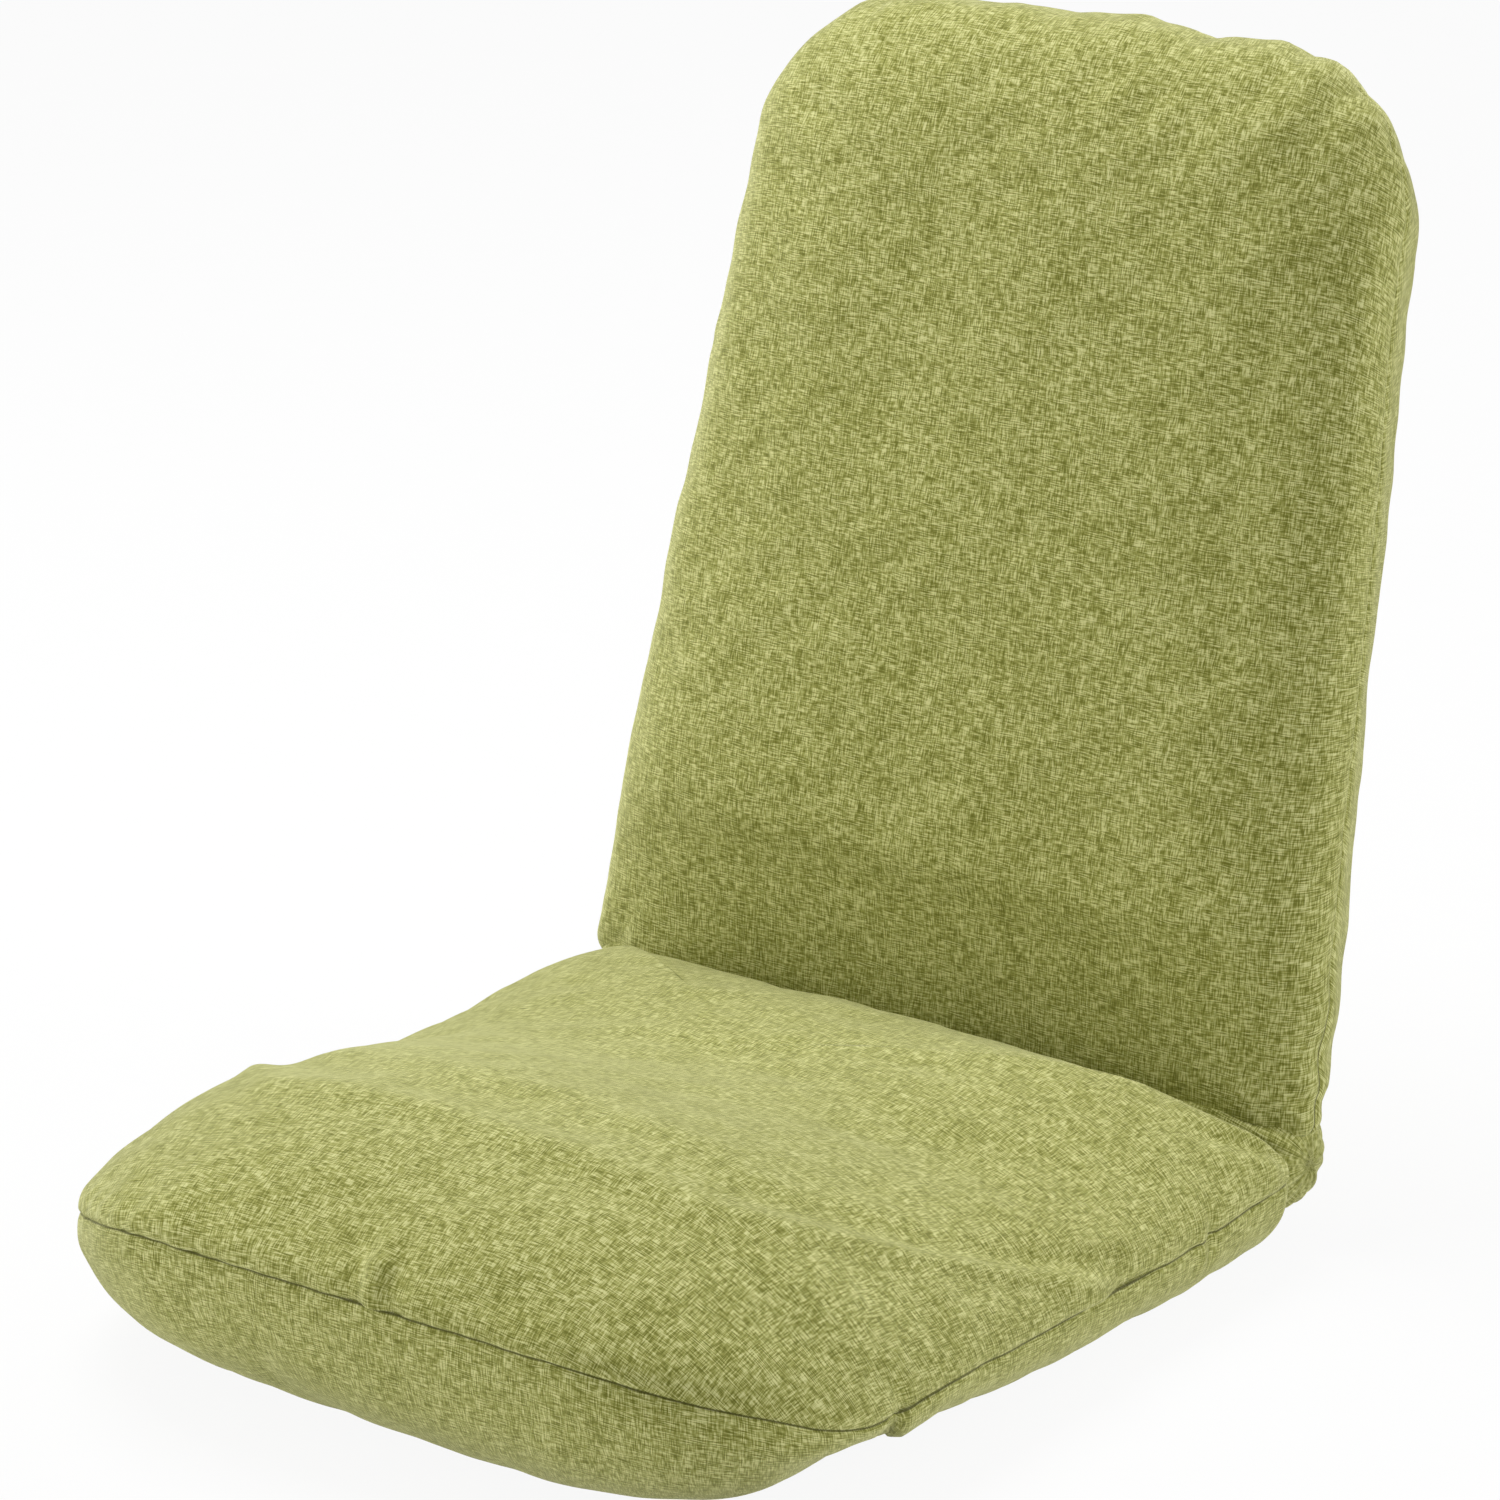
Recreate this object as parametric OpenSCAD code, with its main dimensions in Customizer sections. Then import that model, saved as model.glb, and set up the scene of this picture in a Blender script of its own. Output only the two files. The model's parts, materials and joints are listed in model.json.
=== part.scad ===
// Low floor chair: a padded seat that lies on the floor and a padded back,
// joined by a toothed hinge on each side that lets the back recline in steps.
// Millimetres, +Z up. The chair faces -Y, and the sitter's left is +X.
// The origin lies on the floor, under the middle of the flat resting face.

/* [Seat cushion] */
// Width of the seat over its side seams
seat_w = 430; // [400:1:470]
// From the hinge axis to the seat's front seam
seat_l = 476; // [440:1:520]
// Radius of the seat's two front corners
seat_corner_r = 108; // [80:1:130]
// Radius of the seat's two corners at the hinge end
seat_rear_r = 18; // [14:1:30]
// How far the middle of the front seam bows forward
seat_bow = 6; // [0:1:14]
// Height of the seam above the floor at the front
seam_front_z = 91; // [70:1:100]
// Height of the seam above the floor along the sides and the hinge end
seam_side_z = 41; // [36:1:48]
// From the front seam back along the sides to where the seam starts to rise
seam_rise_l = 146; // [110:1:200]
// Height of the seat's top over the raised front
nose_top_z = 146; // [125:1:155]
// Height of the seat's top in the hollow behind the raised front
hollow_z = 98; // [90:1:105]
// From the hinge axis to where the raised front starts
nose_from = 182; // [160:1:230]
// From the hinge axis to where the raised front is at its full height
nose_to = 372; // [330:1:400]
// Extra height of the seat's crown in the middle of its width
seat_crown = 9; // [4:1:14]
// Share of the raised front's height that it loses towards its two sides
nose_fall = 0.3; // [0:0.05:0.5]

/* [Back cushion] */
// How far the back's side seams lie in from the seat's, at the hinge end
back_inset = 3; // [0:0.5:8]
// How far each side of the back draws in towards its top
back_taper = 27; // [15:1:35]
// From the hinge axis to the back's top seam
back_l = 517; // [470:1:560]
// Radius of the back's two top corners
back_corner_r = 68; // [56:1:100]
// Radius of the back's two corners at the hinge end
back_foot_r = 20; // [14:1:30]
// How far the middle of the top seam bows upwards
back_bow = 15; // [0:1:24]
// Padding in front of the back's seam
back_pad_front = 39; // [30:1:44]
// Padding behind the back's seam
back_pad_rear = 48; // [40:1:49]
// Extra depth of the crown in the middle of the back's front
back_crown = 8; // [3:1:11]
// From the hinge axis to where the back's front is at its full depth
back_foot_l = 118; // [90:1:150]

/* [Cloth] */
// Thickness of the cover with its thin wadding
cover_t = 1.6; // [1:0.1:2.4]
// Thickness of the woven slings between the tubes
sling_t = 1.2; // [0.8:0.1:1.6]

/* [Tube frame] */
// Outside diameter of the frame tubes
tube_d = 16; // [15.2:0.2:17]
// Wall of the frame tubes
tube_wall = 1.2; // [1:0.1:1.5]
// From the back's side seam in to the centre of each hinge
hinge_inset = 40; // [38:1:46]
// Bend radius of the frame tubes, at their centre line
bend_r = 78; // [66:1:90]
// From the seat's front seam back to the frame's front tube
seat_tube_inset = 74; // [64:1:90]
// From the back's top seam down to the frame's top tube
back_tube_inset = 52; // [44:1:70]
// Diameter of the cross bars
bar_d = 12; // [10:1:13]

/* [Hinge] */
// Height of the hinge axis above the floor
hinge_z = 50; // [50:1:56]
// Lean of the back from upright, as it stands in use
back_lean = 15; // [0:7.5:30]
// Angle between two locking positions
tooth_pitch = 7.5; // [7.5:7.5:7.5]
// Number of locking positions
tooth_count = 15; // [15:1:15]
// Radius over the tips of the teeth
tooth_tip_r = 19; // [18.6:0.1:19.4]
// Depth of the teeth
tooth_depth = 2; // [1.8:0.1:2.2]
// Thickness of the toothed arm
arm_t = 3.2; // [2.6:0.1:3.4]
// Thickness of each cheek plate
cheek_t = 2; // [1.6:0.1:2.6]
// Radius of the cheek plates about the hinge axis
cheek_r = 22; // [21.4:0.1:22.6]
// Radius of the pivot
pivot_r = 6; // [5:0.1:7]
// Thickness of the release plate
release_t = 1.2; // [1:0.1:1.4]
// Width of the pawl
pawl_t = 6; // [5.4:0.1:6.4]
// Radius of the pawl's pin
pin_r = 2.5; // [2:0.1:2.8]

/* [Zip] */
// Length of the zip
zip_l = 300; // [240:1:310]
// Width of the zip's coil
coil_w = 4; // [3:0.5:6]
// Width of the zip with its tapes
zip_w = 18; // [14:1:20]

/* [Hidden] */
$fn = 48;

// Colours
cloth_colour = "#9da05f";
foam_colour = "#efe6c4";
tube_colour = "#4a4c50";
steel_colour = "#b9bcc0";
sling_colour = "#3b3d40";
zip_colour = "#8a8d55";

// Widths that follow the seat's
back_w_low = seat_w - 2 * back_inset;
back_w_top = back_w_low - 2 * back_taper;
hinge_span = back_w_low - 2 * hinge_inset;

// Clearances
cloth_gap = 1;
running_gap = 0.05;
side_gap = 0.3;
sling_gap = 0.5;
end_play = 1.2;

// Half the room between the foam slabs, where the sling runs
part_gap = sling_gap + sling_t / 2;

// The hinge axis and the sleeve of cloth round it
sleeve_gap = 2.4;
sleeve_r = cheek_r + sleeve_gap + cover_t;
end_gap = sleeve_r + end_play;
// The seat is swept in towards a line across it, nearer to the hinge than to the front
seat_heart = 0.34 * (end_gap + seat_l);
back_heart = 0.5 * (end_gap + back_l);
// How square each roll is: the higher, the tighter it turns at the seam
seat_top_power = 3.2;
seat_base_power = 10;
back_power = 11;
// The base is cut flat where it meets the floor, this deep
floor_cut = 0.5;
flat_share = 0.68;
flat_front = seat_heart + flat_share * (seat_l - seat_heart);
flat_rear = seat_heart - flat_share * (seat_heart - end_gap);
hinge_y = (flat_front + flat_rear) / 2;
hinge_x = hinge_span / 2;
tube_r = tube_d / 2;
bore_r = tube_r - tube_wall;

// Sizes of the rings from the seam inwards, closer together where the surface curves most
ring_steps = [1, 0.992, 0.972, 0.935, 0.87, 0.78, 0.64, 0.46, 0.24];
inner_steps = [1, 0.96, 0.84, 0.62, 0.3];

// How far a cushion has swelled on the ring of size s: 0 at its seam, 1 at its middle
function swell(s, power) = sqrt(1 - pow(s, power));

// A smooth step from 0 to 1 as t goes from 0 to 1
function smooth(t) = let (u = min(max(t, 0), 1)) u * u * (3 - 2 * u);

// Mean of a list
function total(v, i = 0) = i < len(v) ? v[i] + total(v, i + 1) : 0;
function mean(v) = total(v) / len(v);

// One rounded corner of an outline, as points on an arc
function corner(x, l, r, from, count) =
    [for (i = [0:count - 1]) [x + r * cos(from + 90 * i / count), l + r * sin(from + 90 * i / count)]];

// Points along a straight edge, without its last one
function edge(a, b, count) = [for (i = [0:count - 1]) a + (b - a) * i / count];

// A cushion's outline in its own plane, x across and l away from the hinge axis, drawn in by d.
// c is [half width near, half width far, near end, far end, near radius, far radius, bow]
function outline(c, d) =
    let (near_w = c[0] - d, far_w = c[1] - d, near_l = c[2] + d, far_l = c[3] - d,
        near_r = c[4] - d, far_r = c[5] - d,
        points = concat(
            corner(near_w - near_r, near_l + near_r, near_r, -90, 4),
            edge([near_w, near_l + near_r], [far_w, far_l - far_r], 6),
            corner(far_w - far_r, far_l - far_r, far_r, 0, 7),
            edge([far_w - far_r, far_l], [far_r - far_w, far_l], 7),
            corner(far_r - far_w, far_l - far_r, far_r, 90, 7),
            edge([-far_w, far_l - far_r], [-near_w, near_l + near_r], 6),
            corner(near_r - near_w, near_l + near_r, near_r, 180, 4),
            edge([near_r - near_w, near_l], [near_w - near_r, near_l], 7)))
    [for (p = points)
        let (share = min(max((p[1] - far_l + far_r) / far_r, 0), 1), across = p[0] / far_w)
        [p[0], p[1] + c[6] * share * (1 - across * across)]];

// The seat's outline and the back's
seat_plan = [seat_w / 2, seat_w / 2, end_gap, seat_l - seat_bow, seat_rear_r, seat_corner_r, seat_bow];
back_plan = [back_w_low / 2, back_w_top / 2, end_gap, back_l - back_bow, back_foot_r, back_corner_r, back_bow];

// Height of the seat's seam at a distance from the hinge axis
function seam_z(l) =
    seam_side_z + (seam_front_z - seam_side_z) * pow(max((l - seat_l) / seam_rise_l + 1, 0), 2);

// Height of the seat's top before its edges roll down to the seam
function seat_top_z(x, l) =
    let (across = 2 * x / seat_w)
    hollow_z + seat_crown * (1 - across * across)
        + (nose_top_z - hollow_z - seat_crown) * smooth((l - nose_from) / (nose_to - nose_from))
            * (1 - nose_fall * across * across);

// Depth of the back's front before its edges roll back to the seam
function back_front(x, l) =
    let (across = 2 * x / back_w_low)
    back_pad_front * (0.56 + 0.44 * smooth((l - end_gap) / (back_foot_l - end_gap)))
        + back_crown * (1 - across * across) * smooth((l - end_gap) / (back_foot_l - end_gap));

// One ring of the seat, of size s: sunk by d all over, with its rim g from the seam
function seat_ring(s, d, up, g) =
    [for (rim = outline(seat_plan, d))
        let (x = rim[0] * s, l = seat_heart + (rim[1] - seat_heart) * s, seam = seam_z(rim[1]))
        [x, hinge_y - l, up
            ? seam + g + (seat_top_z(x, l) - d - seam - g) * swell(s, seat_top_power)
            : d + max((seam - g - d) * (1 - swell(s, seat_base_power)) - floor_cut, 0)]];

// One ring of the back, in the back's own frame: z along it and -y to its front
function back_ring(s, d, up, g) =
    [for (rim = outline(back_plan, d))
        let (x = rim[0] * s, l = back_heart + (rim[1] - back_heart) * s,
            pad = up ? back_front(x, l) : back_pad_rear,
            h = g + (pad - d - g) * swell(s, back_power))
        [x, up ? -h : h, l]];

// The middle point over a ring
function middle_of(ring) = [0, mean([for (p = ring) p[1]]), mean([for (p = ring) p[2]])];

// Faces between rings of n points each, cut along the shorter diagonal, and a cap on each end
function wall_faces(points, n, rings, flip) =
    [for (r = [0:rings - 2], i = [0:n - 1], half = [0, 1])
        let (a = r * n + i, b = r * n + (i + 1) % n, c = a + n, d = b + n,
            across = norm(points[a] - points[d]) <= norm(points[b] - points[c]),
            face = across ? (half == 0 ? [a, d, b] : [a, c, d]) : (half == 0 ? [a, c, b] : [b, c, d]))
        flip ? [face[2], face[1], face[0]] : face];
function cap_faces(n, rings, flip) =
    let (first = rings * n, last = first + 1, top = (rings - 1) * n)
    [for (i = [0:n - 1], half = [0, 1])
        let (j = (i + 1) % n,
            face = half == 0 ? [first, i, j] : [last, top + j, top + i])
        flip ? [face[2], face[1], face[0]] : face];

// A closed solid through a stack of rings
module ring_solid(rings, flip = false) {
    n = len(rings[0]);
    points = concat([for (ring = rings, p = ring) p],
        [middle_of(rings[0]), middle_of(rings[len(rings) - 1])]);
    polyhedron(points = points,
        faces = concat(wall_faces(points, n, len(rings), flip), cap_faces(n, len(rings), flip)),
        convexity = 6);
}

// The rings of one half cushion's surface, from its seam to its crown
function seat_surface(steps, d, up, g = 0) = [for (s = steps) seat_ring(s, d, up, g)];
function back_surface(steps, d, up, g = 0) = [for (s = steps) back_ring(s, d, up, g)];

// A list the other way round
function reversed(v) = [for (i = [len(v) - 1:-1:0]) v[i]];

// Moves what is modelled in the back's own frame to where the back stands
module on_back() {
    translate([0, hinge_y, hinge_z]) rotate([-back_lean, 0, 0]) children();
}

// Repeats a piece on the left and, mirrored, on the right
module both_sides() {
    children();
    mirror([1, 0, 0]) children();
}

// A quarter bend of the tube in the XZ plane, about a centre
module quarter_bend(centre, r) {
    translate([centre[0], 0, centre[1]])
        rotate([90, 0, 0])
            rotate_extrude(angle = 90)
                translate([bend_r, 0])
                    circle(r = r);
}

// A U of tube, drawn in the XZ plane with z away from the hinge axis
module tube_path(from, to, r, past = 0) {
    both_sides() {
        translate([hinge_x, 0, from - past]) cylinder(r = r, h = to - bend_r - from + past);
        quarter_bend([hinge_x - bend_r, to - bend_r], r);
    }
    translate([bend_r - hinge_x, 0, to])
        rotate([0, 90, 0])
            cylinder(r = r, h = 2 * (hinge_x - bend_r));
}

// A tube bent into a U, with its open ends towards the hinge axis and a rivet's holes in each
module u_tube(from, to, holes, hole_r) {
    difference() {
        tube_path(from, to, tube_r);
        tube_path(from, to, bore_r, 1);
        both_sides()
            for (l = holes)
                translate([hinge_x - tube_r - 1, 0, l])
                    rotate([0, 90, 0])
                        cylinder(r = hole_r, h = tube_d + 2);
    }
}

seat_tube_gap = 7;
seat_tube_start = end_gap + seat_tube_gap;
seat_tube_end = seat_l - seat_bow - seat_tube_inset;

// Turns what is drawn in the XZ plane with z along the seat down flat at the frame's height
module in_seat_plane() {
    translate([0, hinge_y, hinge_z]) rotate([90, 0, 0]) children();
}

// The two rivets that hold an arm in its tube
arm_rivet_r = 2;
arm_rivet_from = 12;
arm_rivet_pitch = 22;
arm_rivet_places = [seat_tube_start + arm_rivet_from, seat_tube_start + arm_rivet_from + arm_rivet_pitch];
module seat_frame() {
    color(tube_colour)
        in_seat_plane() u_tube(seat_tube_start, seat_tube_end, arm_rivet_places, arm_rivet_r);
}

// A rivet along X, with a low head past each end of its grip
module rivet(r, grip, head_r, head_h) {
    rotate([0, 90, 0]) {
        translate([0, 0, -grip / 2]) cylinder(r = r, h = grip);
        translate([0, 0, grip / 2]) cylinder(r1 = head_r, r2 = head_r * 0.7, h = head_h);
        translate([0, 0, -grip / 2 - head_h]) cylinder(r1 = head_r * 0.7, r2 = head_r, h = head_h);
    }
}

arm_head_r = 3.4;
arm_head_h = 1.4;
module seat_arm_rivets() {
    color(steel_colour)
        in_seat_plane() both_sides()
            for (l = arm_rivet_places)
                translate([hinge_x, 0, l])
                    rivet(arm_rivet_r, tube_d, arm_head_r, arm_head_h);
}

// A cross bar between a U's two sides, its ends hollowed to sit on them
module coped_bar(place) {
    translate([0, 0, place])
        difference() {
            translate([-hinge_x, 0, 0])
                rotate([0, 90, 0])
                    cylinder(r = bar_d / 2, h = hinge_span);
            both_sides()
                translate([hinge_x, 0, -tube_d])
                    cylinder(r = tube_r, h = 2 * tube_d);
        }
}

seat_bar_from = 58;
seat_bar_place = seat_tube_start + seat_bar_from;
module seat_cross_bar() {
    color(tube_colour)
        in_seat_plane() coped_bar(seat_bar_place);
}

// A woven sheet between a U's two sides, sewn round each in a sleeve
sling_hem_gap = 0.1;
module sling(from, to) {
    translate([0, 0, from])
        difference() {
            union() {
                translate([-hinge_x, -sling_t / 2, 0]) cube([hinge_span, sling_t, to - from]);
                both_sides()
                    translate([hinge_x, 0, 0])
                        cylinder(r = tube_r + sling_hem_gap + sling_t, h = to - from);
            }
            both_sides()
                translate([hinge_x, 0, -1])
                    cylinder(r = tube_r + sling_hem_gap, h = to - from + 2);
        }
}

// From a cross bar to its sling, and from a sling's end to the tube's bend
sling_bar_gap = 24;
sling_bend_gap = 6;
module seat_sling() {
    color(sling_colour)
        in_seat_plane()
            sling(seat_bar_place + sling_bar_gap, seat_tube_end - bend_r - sling_bend_gap);
}

// Room for a frame and its cross bar between two foam slabs
groove_gap = 2;
module frame_room(from, to, bar_place) {
    tube_path(from, to, tube_r + groove_gap, 20);
    translate([-hinge_x, 0, bar_place])
        rotate([0, 90, 0])
            cylinder(r = bar_d / 2 + 1, h = hinge_span);
}
module seat_frame_room() {
    in_seat_plane() frame_room(seat_tube_start, seat_tube_end, seat_bar_place);
}

// Where the foam is parted: at the seam all round, and level with the frame inside
part_share = 0.8;
function seat_part_ring(d, z) =
    [for (p = outline(seat_plan, d))
        [p[0] * part_share, hinge_y - seat_heart - (p[1] - seat_heart) * part_share, z]];

module seat_foam() {
    s = cover_t + cloth_gap;
    color(foam_colour)
        difference() {
            ring_solid(concat(
                [seat_part_ring(s, hinge_z + part_gap)],
                seat_surface(inner_steps, s, true, part_gap)), true);
            seat_frame_room();
        }
}

module seat_base_foam() {
    s = cover_t + cloth_gap;
    color(foam_colour)
        difference() {
            ring_solid(concat(
                [seat_part_ring(s, hinge_z - part_gap)],
                seat_surface(inner_steps, s, false, part_gap)));
            seat_frame_room();
        }
}

// Openings in the seat's covers where the arms pass
slot_side = 3;
slot_up = 12;
slot_depth = 14;
module seat_arm_slots() {
    both_sides()
        translate([hinge_x - tube_r - slot_side, hinge_y - end_gap - slot_depth, hinge_z - slot_up])
            cube([tube_d + 2 * slot_side, 2 * slot_depth, 2 * slot_up]);
}

module seat_top_cover() {
    color(cloth_colour)
        difference() {
            ring_solid(concat(
                reversed(seat_surface(inner_steps, cover_t, true)),
                seat_surface(ring_steps, 0, true)), true);
            seat_arm_slots();
        }
}

module seat_base_cover() {
    color(cloth_colour)
        difference() {
            ring_solid(concat(
                reversed(seat_surface(inner_steps, cover_t, false)),
                seat_surface(ring_steps, 0, false)));
            seat_arm_slots();
        }
}

// Hinge parts, drawn in the back's own frame round the axis: y to the rear and z up the back
pawl_pivot = [6, 38];
nose_angle = 28;
nose_reach = tooth_tip_r - tooth_depth;
nose_gap = 0.2;
plate_turn = 12;
pawl_lift = 9;
release_x = arm_t / 2 + side_gap;
pawl_x = -arm_t / 2 - 0.6;

// A 2D shape stood up across the axis, from x over a thickness
module across_axis(x, t) {
    translate([x, 0, 0])
        rotate([90, 0, 90])
            linear_extrude(t)
                children();
}

// A notch between two teeth: steep on its rear side, which stops the back from reclining
notch_rear = 0.85;
notch_front = -1.35;
notch_foot = 0.2;
module notch() {
    polygon([[notch_rear, nose_reach], [notch_rear, tooth_tip_r + 1], [notch_front - 0.3, tooth_tip_r + 1],
        [notch_front, tooth_tip_r], [notch_foot, nose_reach]]);
}

// The seat side's toothed arm
arm_tang_h = 11;
arm_tang_past = 12;
arm_tang_l = arm_rivet_places[1] + arm_tang_past;
module seat_arm() {
    color(steel_colour)
        translate([hinge_x, hinge_y, hinge_z])
            difference() {
                across_axis(-arm_t / 2, arm_t)
                    difference() {
                        union() {
                            circle(r = tooth_tip_r);
                            translate([-arm_tang_l, -arm_tang_h / 2]) square([arm_tang_l, arm_tang_h]);
                        }
                        circle(r = pivot_r + running_gap);
                        for (k = [0:tooth_count - 1])
                            rotate(nose_angle - back_lean + tooth_pitch * (4 - k))
                                notch();
                    }
                for (l = arm_rivet_places)
                    translate([-arm_t, -l, 0])
                        rotate([0, 90, 0])
                            cylinder(r = arm_rivet_r, h = arm_t * 2);
            }
}
module left_seat_arm() {
    seat_arm();
}
module right_seat_arm() {
    mirror([1, 0, 0]) seat_arm();
}

// A cheek plate: a round boss on the axis and a strap up to the back's tube
cheek_gap = tube_r + 2 * running_gap;
strap_end = 98;
strap_from = 56;
boss_flare = 3;
strap_r = 11;
boss_r = 13.4;
back_rivet_r = 2.5;
back_rivet_places = [66, 88];
module cheek_shape() {
    difference() {
        union() {
            circle(r = cheek_r);
            translate([0, strap_end - strap_r]) circle(r = strap_r);
            polygon([[-boss_r - boss_flare, 0], [boss_r + boss_flare, 0], [boss_r, pawl_pivot[1]],
                [strap_r, strap_from], [strap_r, strap_end - strap_r], [-strap_r, strap_end - strap_r],
                [-strap_r, strap_from], [-boss_r, pawl_pivot[1]]]);
        }
        circle(r = pivot_r);
        translate(pawl_pivot) circle(r = pin_r);
        for (u = back_rivet_places)
            translate([0, u]) circle(r = back_rivet_r);
    }
}
module cheek(x) {
    color(steel_colour)
        on_back() translate([hinge_x, 0, 0])
            across_axis(x, cheek_t)
                cheek_shape();
}
module left_inner_cheek() {
    cheek(-cheek_gap - cheek_t);
}
module left_outer_cheek() {
    cheek(cheek_gap);
}
module right_inner_cheek() {
    mirror([1, 0, 0]) cheek(-cheek_gap - cheek_t);
}
module right_outer_cheek() {
    mirror([1, 0, 0]) cheek(cheek_gap);
}

plate_grip = 2 * (cheek_gap + cheek_t);
pivot_head = 3;
pivot_head_h = 2;
module hinge_pivots() {
    color(steel_colour)
        on_back() both_sides()
            translate([hinge_x, 0, 0])
                rivet(pivot_r, plate_grip, pivot_r + pivot_head, pivot_head_h);
}

// Rings that keep the arm and the release plate in the middle of the hinge
module spacer(x0, x1) {
    translate([x0, 0, 0])
        rotate([0, 90, 0])
            difference() {
                cylinder(r = pivot_r + pivot_head, h = x1 - x0);
                translate([0, 0, -1]) cylinder(r = pivot_r, h = x1 - x0 + 2);
            }
}
module hinge_spacers() {
    color(steel_colour)
        on_back() both_sides()
            translate([hinge_x, 0, 0]) {
                spacer(-cheek_gap, -arm_t / 2 - side_gap);
                spacer(release_x + release_t + side_gap, cheek_gap);
            }
}

back_head_r = 4.2;
back_head_h = 1.6;
module back_tube_rivets() {
    color(steel_colour)
        on_back() both_sides()
            for (u = back_rivet_places)
                translate([hinge_x, 0, u])
                    rivet(back_rivet_r, plate_grip, back_head_r, back_head_h);
}

pin_head = 1.5;
pin_head_h = 1.4;
module pawl_pins() {
    color(steel_colour)
        on_back() both_sides()
            translate([hinge_x, pawl_pivot[0], pawl_pivot[1]])
                rivet(pin_r, plate_grip, pin_r + pin_head, pin_head_h);
}

// The sprung pawl that drops between the teeth
pawl_boss_r = 5.4;
module pawl_nose() {
    rotate(nose_angle)
        polygon([[notch_foot + nose_gap, nose_reach + nose_gap], [notch_rear - nose_gap, nose_reach + nose_gap],
            [notch_rear - nose_gap, tooth_tip_r + 4], [notch_front - 2.6, tooth_tip_r + 4],
            [notch_front + nose_gap, tooth_tip_r + 0.1]]);
}
module pawl() {
    nose_top = (tooth_tip_r + 4);
    color(steel_colour)
        on_back() translate([hinge_x, 0, 0])
            across_axis(pawl_x, pawl_t)
                difference() {
                    union() {
                        translate(pawl_pivot) circle(r = pawl_boss_r);
                        pawl_nose();
                        polygon([
                            nose_top * [-sin(nose_angle), cos(nose_angle)] + [-3.4, -2.6],
                            nose_top * [-sin(nose_angle), cos(nose_angle)] + [0.6, -0.7],
                            pawl_pivot + [3.4, -3.6],
                            pawl_pivot + [-4, 3.6]]);
                        translate(pawl_pivot + [-3, 1]) square([3, 10]);
                    }
                    translate(pawl_pivot) circle(r = pin_r + running_gap);
                }
}
module left_pawl() {
    pawl();
}
module right_pawl() {
    mirror([1, 0, 0]) pawl();
}

// The plate that holds the pawl clear of the teeth while the back is let down
release_r = tooth_tip_r + 1.2;
module release_plate() {
    color(steel_colour)
        on_back() translate([hinge_x, 0, 0])
            across_axis(release_x, release_t)
                difference() {
                    circle(r = release_r);
                    circle(r = pivot_r + running_gap);
                    rotate(nose_angle)
                        polygon([[-4.4, nose_reach - 0.6], [1.2, nose_reach - 0.6],
                            [4.2, release_r + 1], [-5.6, release_r + 1]]);
                }
}
module left_release_plate() {
    release_plate();
}
module right_release_plate() {
    mirror([1, 0, 0]) release_plate();
}

// A bent leaf that pushes on the pawl's tail
leaf_t = 0.6;
leaf_r = 9;
module pawl_spring() {
    color(steel_colour)
        on_back() translate([hinge_x, 0, 0])
            across_axis(-2, 4)
                translate([pawl_pivot[0] - 3 - leaf_r, pawl_pivot[1] + 8])
                    rotate(-10)
                        intersection() {
                            difference() {
                                circle(r = leaf_r - nose_gap);
                                circle(r = leaf_r - nose_gap - leaf_t);
                            }
                            translate([0, -leaf_r / 3]) square([leaf_r, leaf_r * 1.2]);
                        }
}
module left_pawl_spring() {
    pawl_spring();
}
module right_pawl_spring() {
    mirror([1, 0, 0]) pawl_spring();
}

// The sleeve of cloth that bridges the hinge line, cut away where the metal passes
sleeve_inset = 11;
sleeve_l = back_w_low - 2 * sleeve_inset;
module hinge_cloth() {
    color(cloth_colour)
        difference() {
            translate([-sleeve_l / 2, hinge_y, hinge_z])
                rotate([0, 90, 0])
                    difference() {
                        cylinder(r = sleeve_r, h = sleeve_l, $fn = 96);
                        translate([0, 0, cover_t])
                            cylinder(r = sleeve_r - cover_t, h = sleeve_l - 2 * cover_t, $fn = 96);
                    }
            both_sides()
                translate([hinge_x - tube_r, hinge_y - end_gap - 4, hinge_z - arm_tang_h / 2 - 2])
                    cube([tube_d, 16, arm_tang_h + 4]);
            on_back() plate_room(pivot_r, end_gap + plate_past);
        }
}

// The back's inverted U of tube, in the back's own frame
back_tube_start = 54;
back_tube_end = back_l - back_bow - back_tube_inset;
module back_frame() {
    color(tube_colour)
        on_back() u_tube(back_tube_start, back_tube_end, back_rivet_places, back_rivet_r);
}

back_bar_place = 150;
module back_cross_bar() {
    color(tube_colour)
        on_back() coped_bar(back_bar_place);
}

module back_sling() {
    color(sling_colour)
        on_back() sling(back_bar_place + sling_bar_gap, back_tube_end - bend_r - sling_bend_gap);
}

// Room in the back's foam for the frame and the cheek plates
plate_side = 3.4;
plate_front = 4;
plate_past = 4;
module plate_room(from, to) {
    both_sides()
        translate([hinge_x - plate_grip / 2 - plate_side, -boss_r - plate_front, from])
            cube([plate_grip + 2 * plate_side, 2 * (boss_r + plate_front), to - from]);
}
module back_frame_room() {
    frame_room(back_tube_start, back_tube_end, back_bar_place);
    plate_room(end_gap - plate_past, strap_end + plate_past);
}

module back_half_foam(up) {
    difference() {
        ring_solid(back_surface(inner_steps, cover_t + cloth_gap, up, part_gap), !up);
        back_frame_room();
    }
}
module back_foam() {
    color(foam_colour) on_back() back_half_foam(true);
}
module back_rear_foam() {
    color(foam_colour) on_back() back_half_foam(false);
}

// Openings in the back's covers where the cheek plates pass
module cheek_slots() {
    plate_room(end_gap - plate_past, end_gap + 4 * plate_past);
}

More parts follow.
